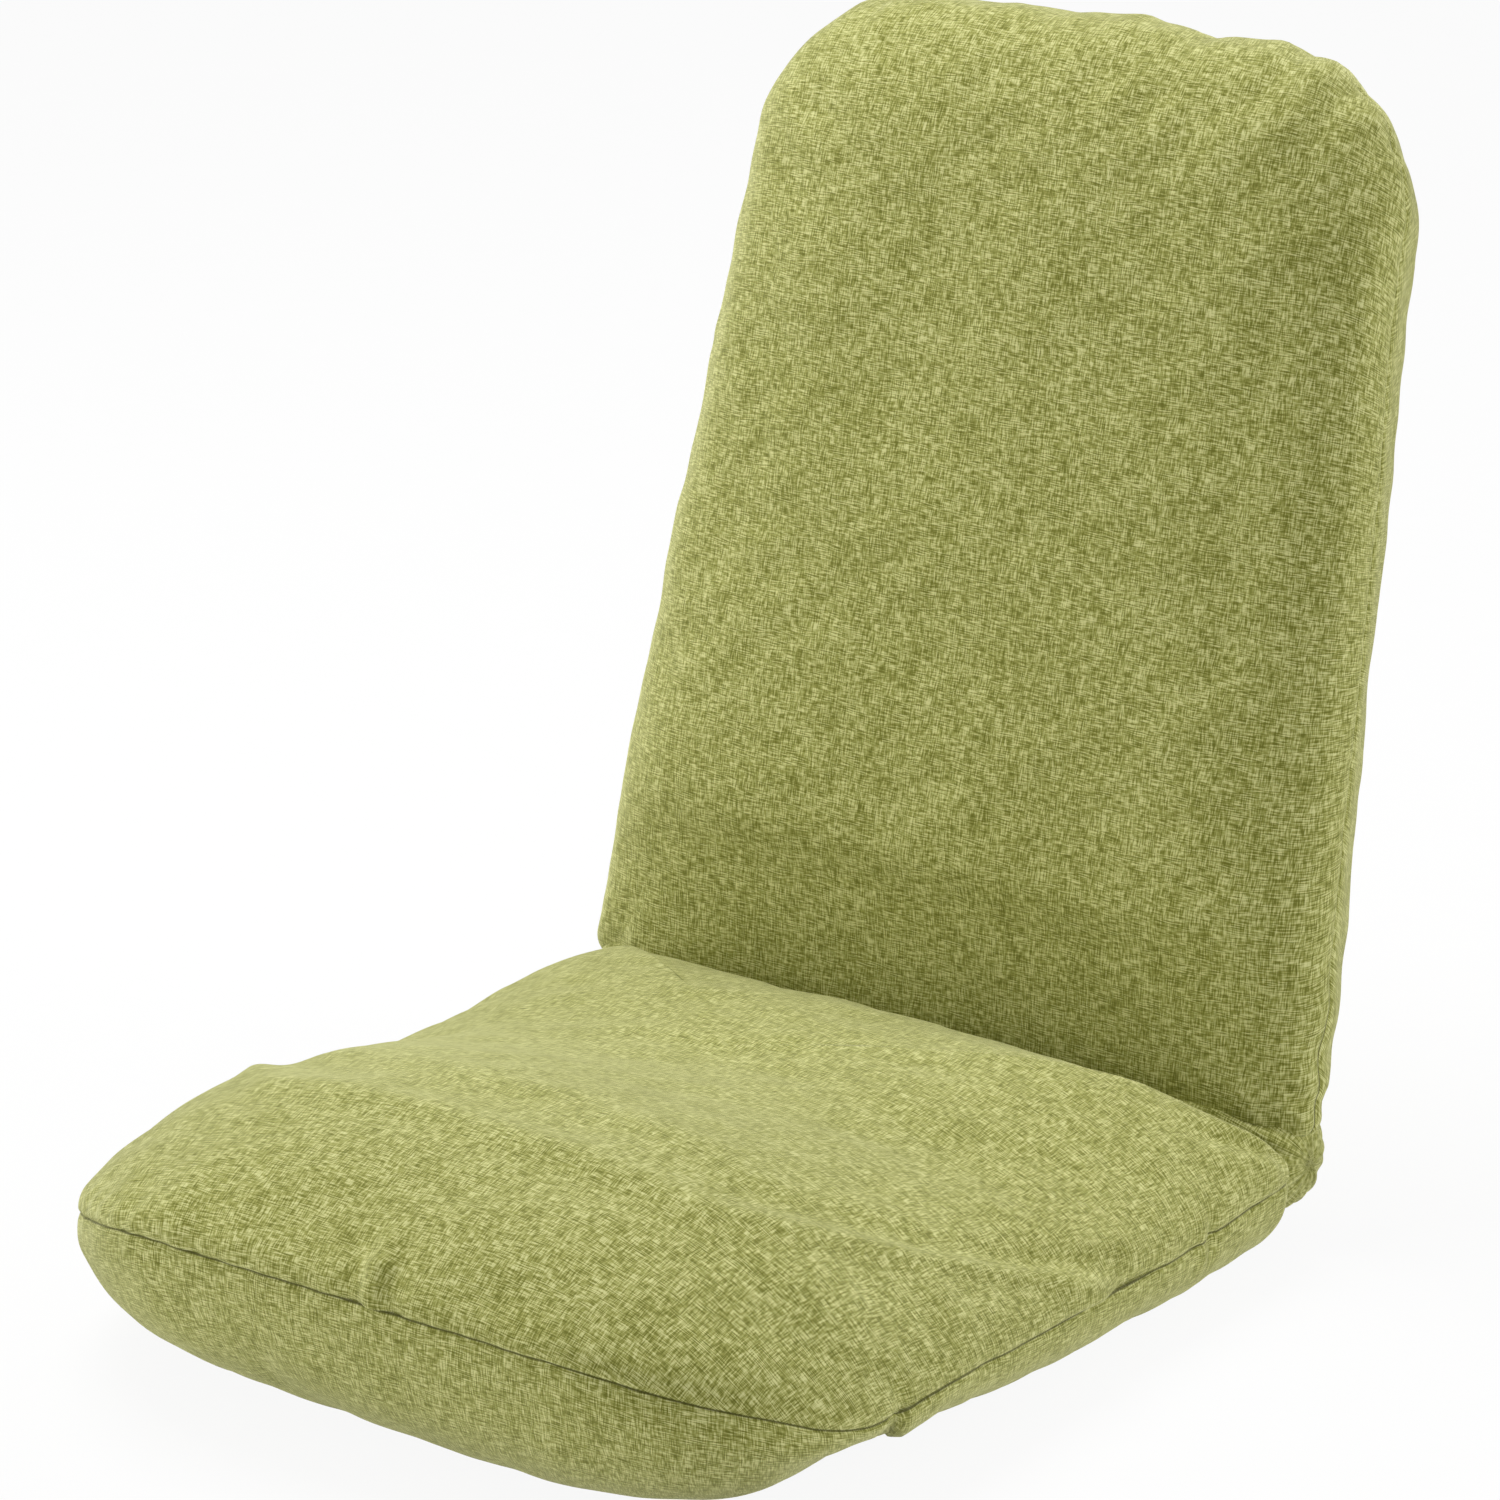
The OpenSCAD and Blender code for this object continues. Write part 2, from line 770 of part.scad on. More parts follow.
module back_front_cover() {
    color(cloth_colour)
        on_back() difference() {
            ring_solid(concat(
                reversed(back_surface(inner_steps, cover_t, true)),
                back_surface(ring_steps, 0, true)));
            cheek_slots();
        }
}

module back_rear_cover() {
    color(cloth_colour)
        on_back() difference() {
            ring_solid(concat(
                reversed(back_surface(inner_steps, cover_t, false)),
                back_surface(ring_steps, 0, false)), true);
            cheek_slots();
        }
}

// The zip across the back's rear, near its lower end
zip_size = 0.86;
zip_h = back_pad_rear * swell(zip_size, back_power);
zip_l_at = back_heart - (back_heart - end_gap) * zip_size;
zip_slope = atan2(back_pad_rear * (swell(zip_size - 0.02, back_power) - swell(zip_size + 0.02, back_power)),
    0.04 * (back_heart - end_gap));
zip_t = 1.6;
zip_gap = 0.4;
module on_zip() {
    on_back()
        translate([0, zip_h, zip_l_at])
            rotate([-zip_slope, 0, 0])
                translate([0, zip_gap, 0])
                    children();
}
module zip_chain() {
    color(zip_colour)
        on_zip() {
            translate([-zip_l / 2, 0, -zip_w / 2]) cube([zip_l, zip_t / 2, zip_w]);
            translate([-zip_l / 2, zip_t / 2, -coil_w / 2]) cube([zip_l, zip_t / 2, coil_w]);
        }
}
// The slider straddles the coil, near the zip's right end when it is shut
slider_l = 11;
slider_w = 8;
slider_h = 2.6;
slider_gap = 0.15;
slider_from = 6;
module zip_slider() {
    color(steel_colour)
        on_zip()
            translate([slider_from - zip_l / 2, 0, 0])
                difference() {
                    translate([0, zip_t / 2 + slider_gap, -slider_w / 2])
                        cube([slider_l, slider_h, slider_w]);
                    translate([-1, 0, -coil_w / 2 - 2 * slider_gap])
                        cube([slider_l + 2, zip_t + slider_gap, coil_w + 4 * slider_gap]);
                }
}

seat_frame();
seat_cross_bar();
seat_sling();
seat_foam();
seat_base_foam();
seat_top_cover();
seat_base_cover();
left_seat_arm();
right_seat_arm();
seat_arm_rivets();
hinge_cloth();
back_frame();
back_cross_bar();
back_sling();
back_foam();
back_rear_foam();
back_front_cover();
back_rear_cover();
left_inner_cheek();
left_outer_cheek();
right_inner_cheek();
right_outer_cheek();
hinge_pivots();
hinge_spacers();
back_tube_rivets();
pawl_pins();
left_pawl_spring();
right_pawl_spring();
left_release_plate();
right_release_plate();
left_pawl();
right_pawl();
zip_chain();
zip_slider();
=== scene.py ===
import json
import math

import bmesh
import bpy
import numpy as np
from bpy.props import FloatProperty, FloatVectorProperty, IntProperty, PointerProperty
from mathutils import Matrix, Vector
from mathutils.kdtree import KDTree


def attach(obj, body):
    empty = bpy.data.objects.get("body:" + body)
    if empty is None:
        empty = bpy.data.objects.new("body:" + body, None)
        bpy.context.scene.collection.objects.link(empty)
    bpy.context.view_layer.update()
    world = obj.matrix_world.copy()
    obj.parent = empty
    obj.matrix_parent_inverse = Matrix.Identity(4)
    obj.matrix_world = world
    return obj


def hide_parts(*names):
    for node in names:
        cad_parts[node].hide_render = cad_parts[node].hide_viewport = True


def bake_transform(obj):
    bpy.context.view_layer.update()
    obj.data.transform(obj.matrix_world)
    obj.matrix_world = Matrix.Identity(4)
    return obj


bl_info = {
    "name": "Floor chair",
    "version": (1, 0, 0),
    "blender": (4, 5, 0),
    "location": "3D View > Sidebar > Floor Chair",
    "description": "Cushions, hinge cover, zip and stage for a low folding floor chair",
    "category": "Object",
}

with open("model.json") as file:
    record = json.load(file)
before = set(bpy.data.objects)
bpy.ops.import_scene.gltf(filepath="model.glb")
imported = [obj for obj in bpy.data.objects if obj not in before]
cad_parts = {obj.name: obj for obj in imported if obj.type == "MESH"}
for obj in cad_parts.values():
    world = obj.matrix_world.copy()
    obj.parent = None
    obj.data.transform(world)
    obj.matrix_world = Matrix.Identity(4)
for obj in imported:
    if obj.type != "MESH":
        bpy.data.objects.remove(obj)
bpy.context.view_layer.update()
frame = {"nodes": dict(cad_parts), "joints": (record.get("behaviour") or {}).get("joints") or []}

MM = 0.001
RECLINE = next(j for j in frame["joints"] if j["name"] == "recline")
AXIS = Vector(RECLINE["pos_m"])
AXIS_Y = AXIS.y / MM

# Sizes of the chair's own solids, in millimetres, measured along each cushion from the hinge axis
END_GAP = 27.2
SEAT_W, SEAT_L, SEAT_BOW = 430, 476, 6
SEAT_HEART = 0.34 * (END_GAP + SEAT_L)
BACK_LOW, BACK_TOP, BACK_L, BACK_BOW = 424, 370, 517, 15
BACK_HEART = 0.5 * (END_GAP + BACK_L)
BACK_FRONT, BACK_REAR, BACK_CROWN = 39, 48, 8
BACK_LEAN = math.radians(15)
SLEEVE_R = 26.0
ZIP_LONG, ZIP_WIDE, ZIP_AT, ZIP_OUT, ZIP_GAP = 300, 18, 61.5, 43.2, 0.4
ZIP_SLOPE = math.radians(15.03)
# For the spacing of the cushions' rings: how far they reach, and how high each panel rises
RING_REACH, TOP_RISE, BASE_RISE, FRONT_RISE = 230, 80, 55, 44


# ---------------------------------------------------------------- curves and bumps

def ramp(value, start, stop):
    """A smooth step: 0 up to the start, 1 from the stop on"""
    t = np.clip((value - start) / (stop - start), 0, 1)
    return t * t * (3 - 2 * t)


def swell(size, power):
    """How far a cushion has swelled on the ring of a size: 0 at its seam, 1 at its middle"""
    return np.sqrt(np.clip(1 - size**power, 0, 1))


def hump(value, centre, width):
    """A round bump of height 1"""
    return np.exp(-(((value - centre) / width) ** 2))


def humps(value, rows, total=0):
    """Round bumps on top of a total: each row is a centre, a width and a height"""
    for centre, width, height in rows:
        total = total + height * hump(value, centre, width)
    return total


def seam_valley(near, sizes):
    """The narrow valley along a seam, in millimetres, from how near each point is to the seam"""
    return -sizes.seam_depth / MM * hump(near, 0, sizes.seam_reach / MM)


RIPPLE_WAVES, RIPPLE_LEVEL = 7, 2.6


def ripple(x, y, wave, seed):
    """Soft waves in no set direction, about 1 high and one wavelength across"""
    rng = np.random.default_rng(seed)
    total = np.zeros_like(x)
    for _ in range(RIPPLE_WAVES):
        turn, phase, scale = rng.uniform(0, math.tau), rng.uniform(0, math.tau), rng.uniform(0.7, 1.4)
        k = math.tau / (wave * scale)
        total += np.sin(k * (x * math.cos(turn) + y * math.sin(turn)) + phase)
    return total / RIPPLE_LEVEL


def creases(x, l, rows):
    """Folds that start at a point and fade out at another: each row is two points, a width and a height"""
    total = np.zeros_like(x)
    for x0, l0, x1, l1, width, height in rows:
        dx, dl = x1 - x0, l1 - l0
        t = ((x - x0) * dx + (l - l0) * dl) / (dx * dx + dl * dl)
        on = np.clip(t, 0, 1)
        off = np.hypot(x - x0 - on * dx, l - l0 - on * dl)
        total += height * hump(off, 0, width) * ramp(t, 1, 0)
    return total


# How finely rims and rings are worked out, and how much closer they lie on a turn and at the seam
ARC_POINTS, FINE_POINTS, RING_POINTS = 31, 6001, 4001
TURN_WEIGHT, SEAM_WEIGHT, SEAM_FADE = 14, 2.2, 14


def rim_line(near_w, far_w, near_l, far_l, near_r, far_r, bow, count):
    """Points round a cushion's rim, closer together on its corners, from the middle of its near edge"""
    def arc(x, l, r, start):
        a = np.radians(start + np.linspace(0, 90, ARC_POINTS))
        return np.stack([x + r * np.cos(a), l + r * np.sin(a)], 1)
    middle = np.array([[0.0, near_l]])
    line = np.concatenate([
        middle,
        arc(near_w - near_r, near_l + near_r, near_r, -90),
        arc(far_w - far_r, far_l - far_r, far_r, 0),
        arc(far_r - far_w, far_l - far_r, far_r, 90),
        arc(near_r - near_w, near_l + near_r, near_r, 180),
        middle])
    step = np.hypot(*np.diff(line, axis=0).T)
    fine = np.linspace(0, step.sum(), FINE_POINTS)
    walked = np.concatenate([[0], np.cumsum(step)])
    line = np.stack([np.interp(fine, walked, line[:, k]) for k in (0, 1)], 1)
    share = np.clip((line[:, 1] - far_l + far_r) / far_r, 0, 1)
    line[:, 1] += bow * share * (1 - (line[:, 0] / far_w) ** 2)
    move = np.diff(line, axis=0)
    heading = np.unwrap(np.arctan2(move[:, 1], move[:, 0]))
    turning = np.abs(np.diff(heading, prepend=heading[0]))
    effort = np.concatenate([[0], np.cumsum(np.hypot(*move.T) + TURN_WEIGHT * turning)])
    at = np.interp(np.linspace(0, effort[-1], count + 1), effort, np.arange(len(effort)))
    return np.stack([np.interp(at, np.arange(len(line)), line[:, k]) for k in (0, 1)], 1)


def ring_sizes(reach, height, power, count):
    """Sizes of the rings from the seam to the middle, evenly spread along the roll and closer at the seam"""
    size = 1 - np.linspace(0, 1, RING_POINTS) ** 2
    step = np.hypot(np.diff(reach * size), np.diff(height * swell(size, power)))
    from_seam = np.cumsum(step)
    effort = np.concatenate([[0], np.cumsum(step * (1 + SEAM_WEIGHT * np.exp(-from_seam / SEAM_FADE)))])
    return np.interp(np.linspace(0, effort[-1], count + 1), effort, size)


# ---------------------------------------------------------------- meshes

def object_of(name, bm):
    """A new object at the origin from a bmesh, smooth shaded"""
    mesh = bpy.data.meshes.new(name)
    bm.to_mesh(mesh)
    bm.free()
    mesh.shade_smooth()
    piece = bpy.data.objects.new(name, mesh)
    bpy.context.scene.collection.objects.link(piece)
    return piece


def read(collection, key, width):
    """One value of every item in a mesh's collection, as an array"""
    values = np.zeros(len(collection) * width)
    collection.foreach_get(key, values)
    return values.reshape(-1, width) if width > 1 else values


# Where in the cloth, in millimetres, the base and the band are cut
BASE_CUT, BAND_CUT = 777, 300


class Pad:
    """A grid of rings and meridians, closed into a ball whose equator is a cushion's seam"""

    def __init__(self, name, rim, points, to_world):
        self.name, self.rim, self.points = name, rim, points
        self.rings, self.around = points.shape[0] - 1, points.shape[1] - 1
        steps = np.linalg.norm(np.diff(points, axis=0), axis=2)
        walked = np.concatenate([np.zeros((1, self.around + 1)), np.cumsum(steps, 0)])
        self.seam = walked[self.rings // 2] - walked
        self.from_top, self.from_base = walked, walked[-1] - walked
        self.run = np.concatenate([[0], np.cumsum(np.hypot(*np.diff(rim, axis=0).T))])
        self.world = to_world(points) * MM

    def mesh(self, name):
        """An open grid with a vertex for each point, and which point each vertex is"""
        bm = bmesh.new()
        bmesh.ops.create_grid(bm, x_segments=self.around, y_segments=self.rings, size=1)
        piece = object_of(name, bm)
        co = read(piece.data.vertices, "co", 3)
        column = np.rint((co[:, 0] + 1) / 2 * self.around).astype(int)
        row = np.rint((co[:, 1] + 1) / 2 * self.rings).astype(int)
        piece.data.vertices.foreach_set("co", self.world[row, column].ravel())
        return piece, row, column

    def closed(self, piece):
        """Joins the grid's two sides, and gathers its first and last rings into points"""
        bm = bmesh.new()
        bm.from_mesh(piece.data)
        bmesh.ops.remove_doubles(bm, verts=bm.verts, dist=2e-6)
        bmesh.ops.recalc_face_normals(bm, faces=bm.faces)
        bm.to_mesh(piece.data)
        bm.free()
        piece.data.shade_smooth()
        return piece

    def normals(self):
        """The way out of the surface at each point"""
        p = self.world
        down = np.gradient(p, axis=0)
        wrapped = np.concatenate([p[:, -2:-1], p, p[:, 1:2]], 1)
        round_ = (wrapped[:, 2:] - wrapped[:, :-2]) / 2
        n = np.cross(down, round_)
        n[0], n[-1] = n[1].mean(0), n[-2].mean(0)
        n /= np.maximum(np.linalg.norm(n, axis=2), 1e-12)[..., None]
        middle = p.reshape(-1, 3).mean(0)
        return n if np.mean(np.sum(n * (p - middle), 2)) > 0 else -n

    def push(self, offset):
        """Moves every point out along the surface's normal, by millimetres"""
        offset = np.array(offset)
        offset[0], offset[-1] = offset[0].mean(), offset[-1].mean()
        self.world += self.normals() * (offset * MM)[..., None]

    def piece(self, band):
        """The cushion as an object. Its cloth lies straight over each panel, and along the seam on a band"""
        piece, row, column = self.mesh(self.name)
        mesh = piece.data
        distance = mesh.attributes.new("seam", "FLOAT", "POINT")
        distance.data.foreach_set("value", self.seam[row, column].astype(np.float32))
        heart = self.points[0, 0, :2]
        way = self.rim - heart
        way /= np.linalg.norm(way, axis=1)[:, None]
        corner = np.zeros(len(mesh.loops), int)
        mesh.loops.foreach_get("vertex_index", corner)
        r, c = row[corner], column[corner]
        of_face = r.reshape(-1, 4)
        below = np.repeat(of_face.mean(1) > self.rings / 2, 4)
        banded = np.repeat((-self.seam[r, c]).reshape(-1, 4).max(1) <= band, 4) & below
        reach = np.where(below, self.from_base[r, c], self.from_top[r, c])
        # The base and the band are cut from other places in the cloth than the top
        u = np.where(banded, self.run[c], reach * way[c, 0] + np.where(below, BASE_CUT, 0))
        v = np.where(banded, BAND_CUT + self.seam[r, c], reach * way[c, 1])
        layer = mesh.uv_layers.new(name="weave")
        layer.data.foreach_set("uv", (np.stack([u, v], 1) * MM).ravel())
        return self.closed(piece)


def shifted(piece, offset):
    """Moves every vertex of a piece along its own normal, by millimetres"""
    mesh = piece.data
    co, normal = read(mesh.vertices, "co", 3), read(mesh.vertex_normals, "vector", 3)
    mesh.vertices.foreach_set("co", (co + normal * (offset * MM)[:, None]).ravel())
    mesh.update()


def subdivided(piece):
    """Applies one subdivision"""
    modifier = piece.modifiers.new("round", "SUBSURF")
    modifier.levels = modifier.render_levels = 1
    settle(piece)


def settle(piece):
    """Applies a piece's modifiers"""
    bpy.context.view_layer.update()
    evaluated = piece.evaluated_get(bpy.context.evaluated_depsgraph_get())
    mesh = bpy.data.meshes.new_from_object(evaluated)
    piece.modifiers.clear()
    old, piece.data = piece.data, mesh
    bpy.data.meshes.remove(old)
    mesh.name = piece.name
    mesh.shade_smooth()


AIR_FRAMES = 20
CLOTH = {
    "quality": 5, "mass": 0.3, "air_damping": 1, "tension_stiffness": 15, "compression_stiffness": 15,
    "shear_stiffness": 5, "bending_stiffness": 0.5, "use_pressure": True, "vertex_group_mass": "held",
}


def inflate(pad, held, sizes):
    """Blows the cushion up as a bag of cloth held along its seam, and moves the pad's points with it"""
    scene = bpy.context.scene
    trial = pad.closed(pad.mesh("trial")[0])
    remesh = trial.modifiers.new("even", "REMESH")
    remesh.mode, remesh.voxel_size = "VOXEL", sizes.voxel
    settle(trial)
    mesh = trial.data
    start = read(mesh.vertices, "co", 3)
    # Held fast up to 1.8 voxels from what is held, free from 4.8 on
    gap = nearest(held, start, 1)[0][:, 0]
    grip = np.rint(np.clip(1.6 - gap / (3 * sizes.voxel), 0, 1) * 10) / 10
    group = trial.vertex_groups.new(name="held")
    for weight in np.unique(grip):
        if weight > 0:
            group.add(np.flatnonzero(grip == weight).tolist(), float(weight), "REPLACE")
    modifier = trial.modifiers.new("air", "CLOTH")
    for key, value in CLOTH.items():
        setattr(modifier.settings, key, value)
    modifier.settings.shrink_min = -sizes.slack
    modifier.settings.uniform_pressure_force = sizes.pressure
    modifier.settings.effector_weights.gravity = 0
    modifier.collision_settings.use_collision = False
    modifier.point_cache.frame_start, modifier.point_cache.frame_end = 1, AIR_FRAMES
    for number in range(1, AIR_FRAMES + 1):
        scene.frame_set(number)
    after = trial.evaluated_get(bpy.context.evaluated_depsgraph_get())
    moved = read(after.data.vertices, "co", 3) - start
    scene.frame_set(1)
    # The pad's points follow the four points of the cloth next to them
    gap, hit = nearest(start, pad.world.reshape(-1, 3), 4)
    weight = 1 / (gap + 1e-4) ** 2
    shift = np.einsum("pk,pkc->pc", weight / weight.sum(1)[:, None], moved[hit]).reshape(pad.world.shape)
    for _ in range(3):
        shift = soften(shift)
    # The foam inside gives way to only part of the cloth's movement, and to less where the cloth draws in
    out = np.sum(shift * pad.normals(), 2)
    pad.push(np.where(out > 0, sizes.give * sizes.puff * np.tanh(out / sizes.puff),
                      sizes.draw * np.tanh(out / sizes.draw)) / MM)
    bpy.data.objects.remove(trial)
    bpy.data.meshes.remove(mesh)


def soften(grid):
    """Evens a grid of vectors out with its neighbours, round and along"""
    wrapped = np.concatenate([grid[:, -2:-1], grid, grid[:, 1:2]], 1)
    grid = (wrapped[:, 2:] + 2 * grid + wrapped[:, :-2]) / 4
    inner = (grid[2:] + 2 * grid[1:-1] + grid[:-2]) / 4
    ends = [grid[k:k + 1].mean(1, keepdims=True) + 0 * grid[:1] for k in (0, len(grid) - 1)]
    return np.concatenate([ends[0], inner, ends[1]])


def nearest(points, places, count):
    """Distances to the points nearest to each place, and which they are"""
    tree = KDTree(len(points))
    for i, point in enumerate(points):
        tree.insert(point, i)
    tree.balance()
    found = [tree.find_n(place, count) for place in places]
    return (np.array([[hit[2] for hit in hits] for hits in found]),
            np.array([[hit[1] for hit in hits] for hits in found]))


# ---------------------------------------------------------------- materials

class Number:
    """A number on a shader socket. Arithmetic on it adds the Math nodes."""

    def __init__(self, shader, socket):
        self.shader, self.socket = shader, socket

    def math(self, operation, *others):
        return self.shader.node("ShaderNodeMath", {"operation": operation}, [self, *others])

    def __rsub__(self, other):
        return self.shader.node("ShaderNodeMath", {"operation": "SUBTRACT"}, [other, self])

    def __add__(self, other): return self.math("ADD", other)
    def __radd__(self, other): return self.math("ADD", other)
    def __mul__(self, other): return self.math("MULTIPLY", other)
    def __rmul__(self, other): return self.math("MULTIPLY", other)
    def __sub__(self, other): return self.math("SUBTRACT", other)
    def __truediv__(self, other): return self.math("DIVIDE", other)
    def __abs__(self): return self.math("ABSOLUTE")

    def sine(self): return self.math("SINE")
    def most(self, other): return self.math("MAXIMUM", other)

    def between(self, low, high):
        """0 at low, 1 at high, smoothly"""
        return self.shader.node("ShaderNodeMapRange", {"interpolation_type": "SMOOTHSTEP"},
                                {"Value": self, "From Min": low, "From Max": high})


class Shader:
    """The nodes of a material or a world, and the shader in it that they feed"""

    def __init__(self, owner, body="Principled BSDF"):
        owner.use_nodes = True
        self.material, self.tree = owner, owner.node_tree
        self.body = self.tree.nodes[body]

    def node(self, kind, settings=(), inputs=(), output=0):
        """A node with its settings, then the values or links of its sockets; gives one of its outputs,
        or for None all of them by their names"""
        made = self.tree.nodes.new(kind)
        settings = dict(settings)
        stops = settings.pop("stops", None)
        for key, value in settings.items():
            setattr(made, key, value)
        if stops:
            for _ in range(len(stops) - len(made.color_ramp.elements)):
                made.color_ramp.elements.new(0.5)
            for element, (place, colour) in zip(made.color_ramp.elements, stops):
                element.position, element.color = place, (*colour, 1)
        pairs = inputs.items() if isinstance(inputs, dict) else enumerate(inputs)
        for key, value in pairs:
            self.feed(made.inputs[key], value)
        if output is None:
            return {out.name: Number(self, out) for out in made.outputs}
        return Number(self, made.outputs[output])

    def feed(self, socket, value):
        """Sets a socket's value, or links it"""
        if isinstance(value, Number):
            self.tree.links.new(value.socket, socket)
        else:
            socket.default_value = value

    def set(self, **values):
        """Feeds the Principled shader: underscores stand for the spaces in its sockets' names"""
        for key, value in values.items():
            self.feed(self.body.inputs[key.replace("_", " ")], value)

    def noise(self, where, scale, detail):
        return self.node("ShaderNodeTexNoise", {}, {"Vector": where, "Scale": scale, "Detail": detail})

    def stretched(self, u, v, w):
        """A place in a pattern, from its three numbers"""
        return self.node("ShaderNodeCombineXYZ", {}, [u, v, w])

    def ramp(self, factor, stops):
        return self.node("ShaderNodeValToRGB", {"stops": stops}, {"Fac": factor})

    def mix(self, factor, a, b):
        """One colour over another"""
        return self.node("ShaderNodeMix", {"data_type": "RGBA"}, {0: factor, 6: a, 7: b}, output=2)

    def bump(self, height, distance, strength):
        return self.node("ShaderNodeBump", {}, {"Height": height, "Distance": distance, "Strength": strength})

    def place(self):
        """Object coordinates, in metres"""
        return self.node("ShaderNodeTexCoord", output=3)

    def split(self, where):
        """The three numbers of a place, in millimetres"""
        return [out * (1 / MM) for out in self.node("ShaderNodeSeparateXYZ", {}, [where], None).values()]

    def seen(self):
        """1 for what the camera sees, straight, mirrored or through glass, and 0 for light on other things"""
        rays = self.node("ShaderNodeLightPath", output=None)
        return rays["Is Camera Ray"].most(rays["Is Glossy Ray"]).most(rays["Is Transmission Ray"])


def grey(value):
    return (value, value, value)


def linear(colour):
    """A colour as a screen shows it, made linear"""
    return tuple(c / 12.92 if c <= 0.04045 else ((c + 0.055) / 1.055) ** 2.4 for c in colour[:3])


def cloth_material(name, looks, seam_shaded=True):
    """Heathered plain weave: thick and thin yarns, darker and lighter along their length, and, unless turned
    off, painted shade along the seams
    """
    m = Shader(bpy.data.materials.new(name))
    uv = m.node("ShaderNodeUVMap", {"uv_map": "weave"})
    u, v, _ = m.split(uv)
    # The yarns wander a little
    u = u + (m.noise(m.stretched(u / 40, v / 40, 2.2), 1.0, 1.0) - 0.5) * 2.5
    v = v + (m.noise(m.stretched(u / 40, v / 40, 6.6), 1.0, 1.0) - 0.5) * 2.5
    pitch = looks.thread / MM
    # Slubs along each set of yarns: one yarn or two wide, and much longer
    weft = m.noise(m.stretched(u / looks.slub_weft, v / pitch, 3.1), 1.0, 0.0)
    warp = m.noise(m.stretched(u / pitch, v / looks.slub_warp, 8.7), 1.0, 0.0)
    thick = m.noise(m.stretched(u / (1.5 * looks.slub_weft), v / (2.4 * pitch), 5.3), 1.0, 1.0)
    # Here the weft shows more, there the warp
    shows = m.noise(m.stretched(u / 9, v / 7, 1.7), 1.0, 1.0).between(0.3, 0.7)
    patch = m.noise(m.stretched(u / 17, v / 12, 4.4), 1.0, 1.0)
    tone = 0.5 + (weft - 0.5) * (0.75 + shows * 0.3) + (warp - 0.5) * (0.95 - shows * 0.3) \
        + (thick - 0.5) * 0.3 + (patch - 0.5) * 0.16
    dark, mid, light = (linear(c) for c in (looks.yarn_dark, looks.yarn_mid, looks.yarn_light))
    colour = m.ramp(tone, [(0.22, dark), (0.5, mid), (0.78, light)])
    if seam_shaded:
        # Painted shade: the seam's groove is darkened with a fixed colour that stands in for the shadow in it
        seam = m.node("ShaderNodeAttribute", {"attribute_name": "seam"}, output=2)
        line = 1 - abs(seam).between(0.15, 0.85)
        colour = m.mix(line * 0.85, colour, (*linear(looks.seam_shade_colour), 1))
    m.set(Base_Color=colour, Roughness=(0.95 - tone * 0.16), Sheen_Weight=1.0, Sheen_Roughness=0.4,
          Sheen_Tint=(0.94, 0.94, 0.52, 1), Specular_IOR_Level=0.3)
    # Over one, under one
    cross_u, cross_v = (u * (math.pi / pitch)).sine(), (v * (math.pi / pitch)).sine()
    over = (cross_u * cross_v).between(-0.3, 0.3)
    height = (abs(cross_u) * (1 - over) + abs(cross_v) * over) * 0.3 + tone * 1.3
    m.set(Normal=m.bump(height, 0.0004, 0.55))
    return m.material


def tube_material():
    """Black enamel with a faint orange peel and patches of dust"""
    m = Shader(bpy.data.materials.new("black_enamel"))
    where = m.place()
    peel = m.noise(where, 900.0, 2.0)
    dust = m.noise(where, 60.0, 4.0)
    m.set(Base_Color=m.ramp(dust, [(0.35, linear(grey(0.10))), (0.75, linear(grey(0.17)))]),
          Roughness=(0.28 + dust * 0.25), Coat_Weight=0.3, Normal=m.bump(peel, 0.00008, 0.5))
    return m.material


def steel_material():
    """Zinc plate: fine rolled streaks, with soft cloudy spangles"""
    m = Shader(bpy.data.materials.new("zinc_plate"))
    x, y, z = m.split(m.place())
    streak = m.noise(m.stretched(x / 0.4, y / 9, z / 9), 1.0, 3.0)
    cloud = m.noise(m.stretched(x / 5, y / 5, z / 5), 1.0, 2.0)
    tone = streak * 0.6 + cloud * 0.4
    m.set(Base_Color=m.ramp(tone, [(0.3, linear((0.60, 0.61, 0.62))), (0.7, linear((0.82, 0.82, 0.80)))]),
          Metallic=1.0, Roughness=(0.30 + cloud * 0.22), Normal=m.bump(streak, 0.00005, 0.6))
    return m.material


def foam_material():
    """Open-cell foam"""
    m = Shader(bpy.data.materials.new("foam"))
    where = m.place()
    cell = m.node("ShaderNodeTexVoronoi", {"feature": "DISTANCE_TO_EDGE"}, {"Vector": where, "Scale": 700.0})
    patch = m.noise(where, 25.0, 3.0)
    shade, light = linear((0.72, 0.66, 0.48)), linear((0.94, 0.90, 0.77))
    m.set(Base_Color=m.ramp(cell * 2 + patch * 0.4, [(0.1, shade), (0.6, light)]), Roughness=0.95,
          Normal=m.bump(cell, 0.0004, 0.7))
    return m.material


def sling_material():
    """Cloth of flat plastic tape, woven over one and under one"""
    m = Shader(bpy.data.materials.new("tape_cloth"))
    x, y, z = m.split(m.place())
    run = y + z * 0.97
    a, b = (x * (math.pi / 3)).sine(), (run * (math.pi / 3)).sine()
    over = (a * b).between(-0.1, 0.1)
    shade = m.noise(m.stretched(x / 4, y / 4, z / 4), 1.0, 2.0)
    m.set(Base_Color=m.ramp(over * 0.5 + shade * 0.5, [(0.2, linear(grey(0.13))), (0.8, linear(grey(0.25)))]),
          Roughness=(0.55 - over * 0.15), Normal=m.bump(abs(a) * (1 - over) + abs(b) * over, 0.0004, 0.8))
    return m.material


